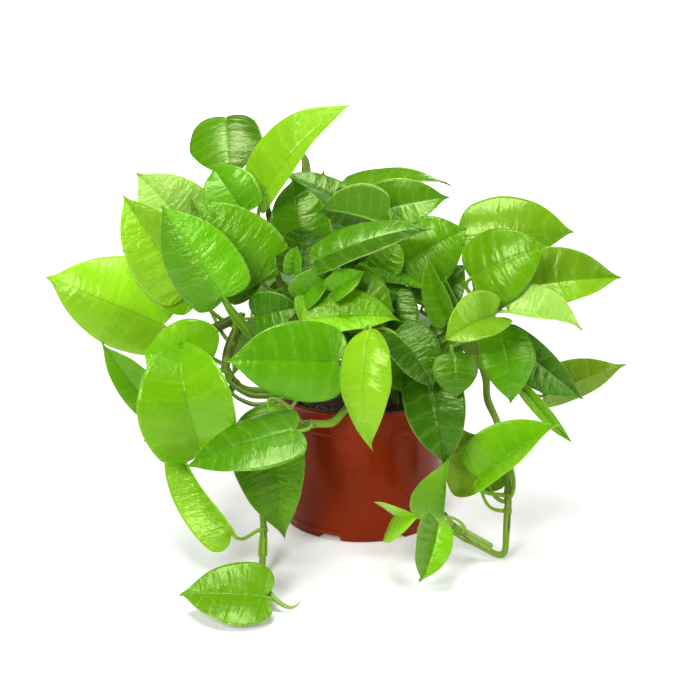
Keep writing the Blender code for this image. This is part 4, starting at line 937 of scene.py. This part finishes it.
def soilMaterial():
    # dark and light clods under specks of dust, both raised
    material, tree, shader, spot = newMaterial("peatBed")
    clods = noiseNode(tree, spot, 180.0, 6.0, 0.7)
    dust = noiseNode(tree, spot, 900.0, 3.0)
    tone = spanNode(tree, clods, 0.35, 0.7, 0.0, 1.0)
    colour = mixColour(tree, tone, soilLook["dark"], soilLook["light"])
    colour = mixColour(tree, spanNode(tree, dust, 0.62, 0.72, 0.0, 0.5), colour, soilLook["dust"])
    normal = bumpNode(tree, dust, 0.0005, 0.7, bumpNode(tree, clods, 0.0025, 0.9))
    finishShader(tree, shader, {"Base Color": colour, "Roughness": soilLook["rough"], "Normal": normal})
    return material


def plainMaterial(name, light, dark, rough, scale):
    # two tones mixed by a small noise, with a matching bump
    material, tree, shader, spot = newMaterial(name)
    grain = noiseNode(tree, spot, scale, 4.0)
    colour = mixColour(tree, spanNode(tree, grain, 0.35, 0.65, 0.0, 1.0), light, dark)
    normal = bumpNode(tree, grain, 0.0002, 0.6)
    finishShader(tree, shader, {"Base Color": colour, "Roughness": rough, "Normal": normal})
    return material


def turnedOut(points, faces):
    # the same solid with its faces turned the other way
    return points, [tuple(reversed(face)) for face in faces]


def makeSoil(material):
    # a tapered plug whose top heaves in three sizes of ripple, less so at the wall
    low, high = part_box("soil")
    radius, top, foot = high[0], high[2], low[2]
    turn = np.linspace(0, 2 * np.pi, soilLook["sections"], endpoint=False)
    outward = np.linspace(0, 1, soilLook["rings"])[1:] ** 0.9 * (radius - 0.0012)
    r = np.concatenate([[0.003], outward])[:, None]
    ring = turned(r, 0.0, turn)
    heave = (0.0016 * ripple(ring, 5, 0.009) + 0.0008 * ripple(ring, 6, 0.003)
             + 0.0005 * ripple(ring, 8, 0.0013))
    ring[..., 2] = top - 0.0022 + heave * np.clip((radius - r) / 0.004, 0.15, 1)
    side = np.array([(radius - 0.0003, top - 0.004), (radius - 0.0012, top - 0.02), (0.0690, foot + 0.002),
                     (0.066, foot), (0.003, foot)])
    wall = turned(side[:, :1], side[:, 1:], turn)
    return newPiece("soil_bed", *turnedOut(*ringSolid(np.concatenate([ring, wall]))), [material])


def chunk(centre, size, seed):
    # a low faceted lump: a small sphere grid pushed in and out by random numbers
    local = np.random.default_rng(seed)
    lat = np.linspace(0.35, np.pi - 0.35, 3)[:, None]
    lon = np.linspace(0, 2 * np.pi, 6, endpoint=False)
    grid = turned(np.sin(lat), np.cos(lat), lon)
    grid = grid * local.uniform(0.6, 1.25, (3, 6, 1)) * size * local.uniform(0.6, 1.3, 3) + centre
    return turnedOut(*ringSolid(grid))


def soilTop(count, seed, reach):
    # random spots on the soil: the root of an even draw spreads them evenly over the disc
    local = np.random.default_rng(seed)
    r = reach * np.sqrt(local.uniform(0.02, 1, count))
    t = local.uniform(0, 2 * np.pi, count)
    return turned(r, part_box("soil")[1][2] - 0.0018, t)


def makeCrumbs(material, name, count, sizes, seed):
    # lumps of random size scattered over the soil
    sizes = np.random.default_rng(seed).uniform(*sizes, count)
    spots = soilTop(count, seed, soilLook["reach"] - 0.0005)
    lumps = [chunk(p, s, seed + k) for k, (p, s) in enumerate(zip(spots, sizes))]
    return newPiece(name, *gather(lumps), [material])


def makeStrands(material):
    # pale root hairs and moss threads lying on the soil: thin four-sided tubes on wandering
    # lines, kept inside the wall
    count, reach = soilLook["strandPoints"], soilLook["reach"]
    parts = []
    for k, spot in enumerate(soilTop(soilLook["strands"], 77, reach - 0.005)):
        local = np.random.default_rng(900 + k)
        turn = local.uniform(0, roundTurn) + np.cumsum(local.uniform(-0.5, 0.5, count))
        step = local.uniform(0.0008, 0.0020)
        way = np.column_stack([np.cos(turn), np.sin(turn), np.zeros(count)])
        path = spot + np.cumsum(way, axis=0) * step
        path[:, 2] += 0.0010 + 0.0009 * np.sin(np.linspace(0, np.pi, count))
        path[:, :2] *= np.minimum(1, reach / np.linalg.norm(path[:, :2], axis=1))[:, None]
        half = local.uniform(*soilLook["strandHalf"])
        parts.append(ringSolid(tubeGrid(path, np.full(count, half), 4)))
    return newPiece("soil_strands", *gather(parts), [material])


# Everything is built and told which body it rides and which CAD piece it replaces
skins = [leafMaterial("leafSmooth", 0.42), stalkMaterial()]
puckeredSkins = [leafMaterial("leafPuckered", 1.15), skins[1]]
allRows = leafRows + fillRows
for number, row in enumerate(allRows):
    leaf = makeLeaf(row, number, skins, puckeredSkins)
    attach(leaf, "root")
    if row[0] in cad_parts:
        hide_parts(row[0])
print("leaves:", len(allRows))

for row in sheathRows:
    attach(makeSheath(row, [skins[1]]), "root")
dryMaterial = plainMaterial("driedSheath", dryLook["dark"], dryLook["light"], 0.85, 300.0)
for name, points in vineRoutes.items():
    nodesAt = sorted({row[2] for row in allRows if row[1] == name} | {1.4, 2.6})
    vine = makeVine(name, points, [skins[1]], nodesAt)
    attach(vine, "root")
    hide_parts(name)
    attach(makeDryScraps(name, points, nodesAt, dryMaterial, 500 + len(name)), "root")
print("vines:", len(vineRoutes))

pot = makePot(potMaterial())
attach(pot, "root")
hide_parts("pot")
soil = makeSoil(soilMaterial())
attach(soil, "root")
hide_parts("soil")
crumbs = makeCrumbs(plainMaterial("peatCrumb", *soilLook["crumbTones"], 0.95, 500.0),
                    "soil_crumbs", soilLook["crumbs"], soilLook["crumbSize"], 41)
grit = makeCrumbs(plainMaterial("paleGrit", *soilLook["gritTones"], 0.9, 700.0),
                  "soil_grit", soilLook["grit"], soilLook["gritSize"], 57)
strands = makeStrands(plainMaterial("mossThread", *soilLook["strandTones"], 0.8, 400.0))
for piece in (crumbs, grit, strands):
    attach(piece, "root")
print("pot and soil done")

# Studio
studio = {"floor": (0.90, 0.90, 0.90), "floorGlow": 0.16, "floorRough": 0.85, "sky": 0.06,
          "depth": 3.0, "half": 6.0, "sweep": 2.0, "below": 0.0004}
# Soft lights: name, place, aim, width and height, power
lightRows = (
    ("softTop", (-0.2, -0.15, 1.5), (0, 0, 0.2), (0.7, 0.6), 16.5),
    ("softLeft", (-0.60, -1.20, 1.00), (-0.03, 0, 0.20), (0.5, 0.55), 16),
    ("softRight", (1.25, -0.55, 0.85), (0.05, 0, 0.18), (0.5, 0.9), 8),
    ("softBack", (0.5, 1.3, 1.1), (0, 0, 0.2), (0.9, 0.6), 9),
    ("softFloor", (0.0, 2.6, 1.9), (0.0, 3.6, 0.3), (5.0, 1.2), 190),
)
# Camera: lens and sensor in millimetres, place, and tilt up from looking straight down
cameraLook = {"lens": 50, "sensor": 36, "reach": 50, "place": (-0.0123, -0.809, 0.370), "tilt": 90 - 15.24}


def makeFloor():
    # a flat floor that sweeps up far behind in a quarter circle
    turn = np.linspace(0, np.pi / 2, 16)[1:]
    deep, sweep = studio["depth"], studio["sweep"]
    depth = np.concatenate([np.linspace(-deep, deep, 20), deep + sweep * np.sin(turn)])[:, None]
    rise = np.concatenate([np.zeros(20), sweep * (1 - np.cos(turn))])[:, None] - studio["below"]
    grid = np.stack(np.broadcast_arrays(np.linspace(-studio["half"], studio["half"], 3), depth, rise), -1)
    i, j = np.meshgrid(np.arange(len(depth) - 1), np.arange(2), indexing="ij")
    faces = np.stack([i * 3 + j, i * 3 + j + 1, (i + 1) * 3 + j + 1, (i + 1) * 3 + j], -1).reshape(-1, 4)
    material, tree, shader = newMaterial("studioFloor")[:3]
    finishShader(tree, shader, {
        "Base Color": studio["floor"], "Roughness": studio["floorRough"],
        "Emission Color": (1.0, 1.0, 1.0), "Emission Strength": studio["floorGlow"]})
    newPiece("studio_floor", grid.reshape(-1, 3), faces.tolist(), [material])


def softLight(name, spot, aim, size, power):
    # a white rectangle of light turned toward its aim
    data = bpy.data.lights.new(name, "AREA")
    data.shape = "RECTANGLE"
    data.size, data.size_y = size
    data.energy = power
    light = bpy.data.objects.new(name, data)
    way = unit(np.array(aim, float) - np.array(spot, float))
    light.location = spot
    light.rotation_euler = Vector(way).to_track_quat("-Z", "Y").to_euler()
    bpy.context.scene.collection.objects.link(light)


makeFloor()
for row in lightRows:
    softLight(*row)
world = bpy.data.worlds.new("studioAir")
world.use_nodes = True
sky = world.node_tree.nodes["Background"]
sky.inputs["Color"].default_value = (1, 1, 1, 1)
sky.inputs["Strength"].default_value = studio["sky"]
bpy.context.scene.world = world
bpy.context.scene.view_settings.view_transform = "Standard"

cameraData = bpy.data.cameras.new("studioCamera")
cameraData.lens = cameraLook["lens"]
cameraData.sensor_width = cameraLook["sensor"]
cameraData.clip_end = cameraLook["reach"]
camera = bpy.data.objects.new("studioCamera", cameraData)
camera.location = cameraLook["place"]
camera.rotation_euler = (math.radians(cameraLook["tilt"]), 0, 0)
bpy.context.scene.collection.objects.link(camera)
bpy.context.scene.camera = camera
print("studio ready")
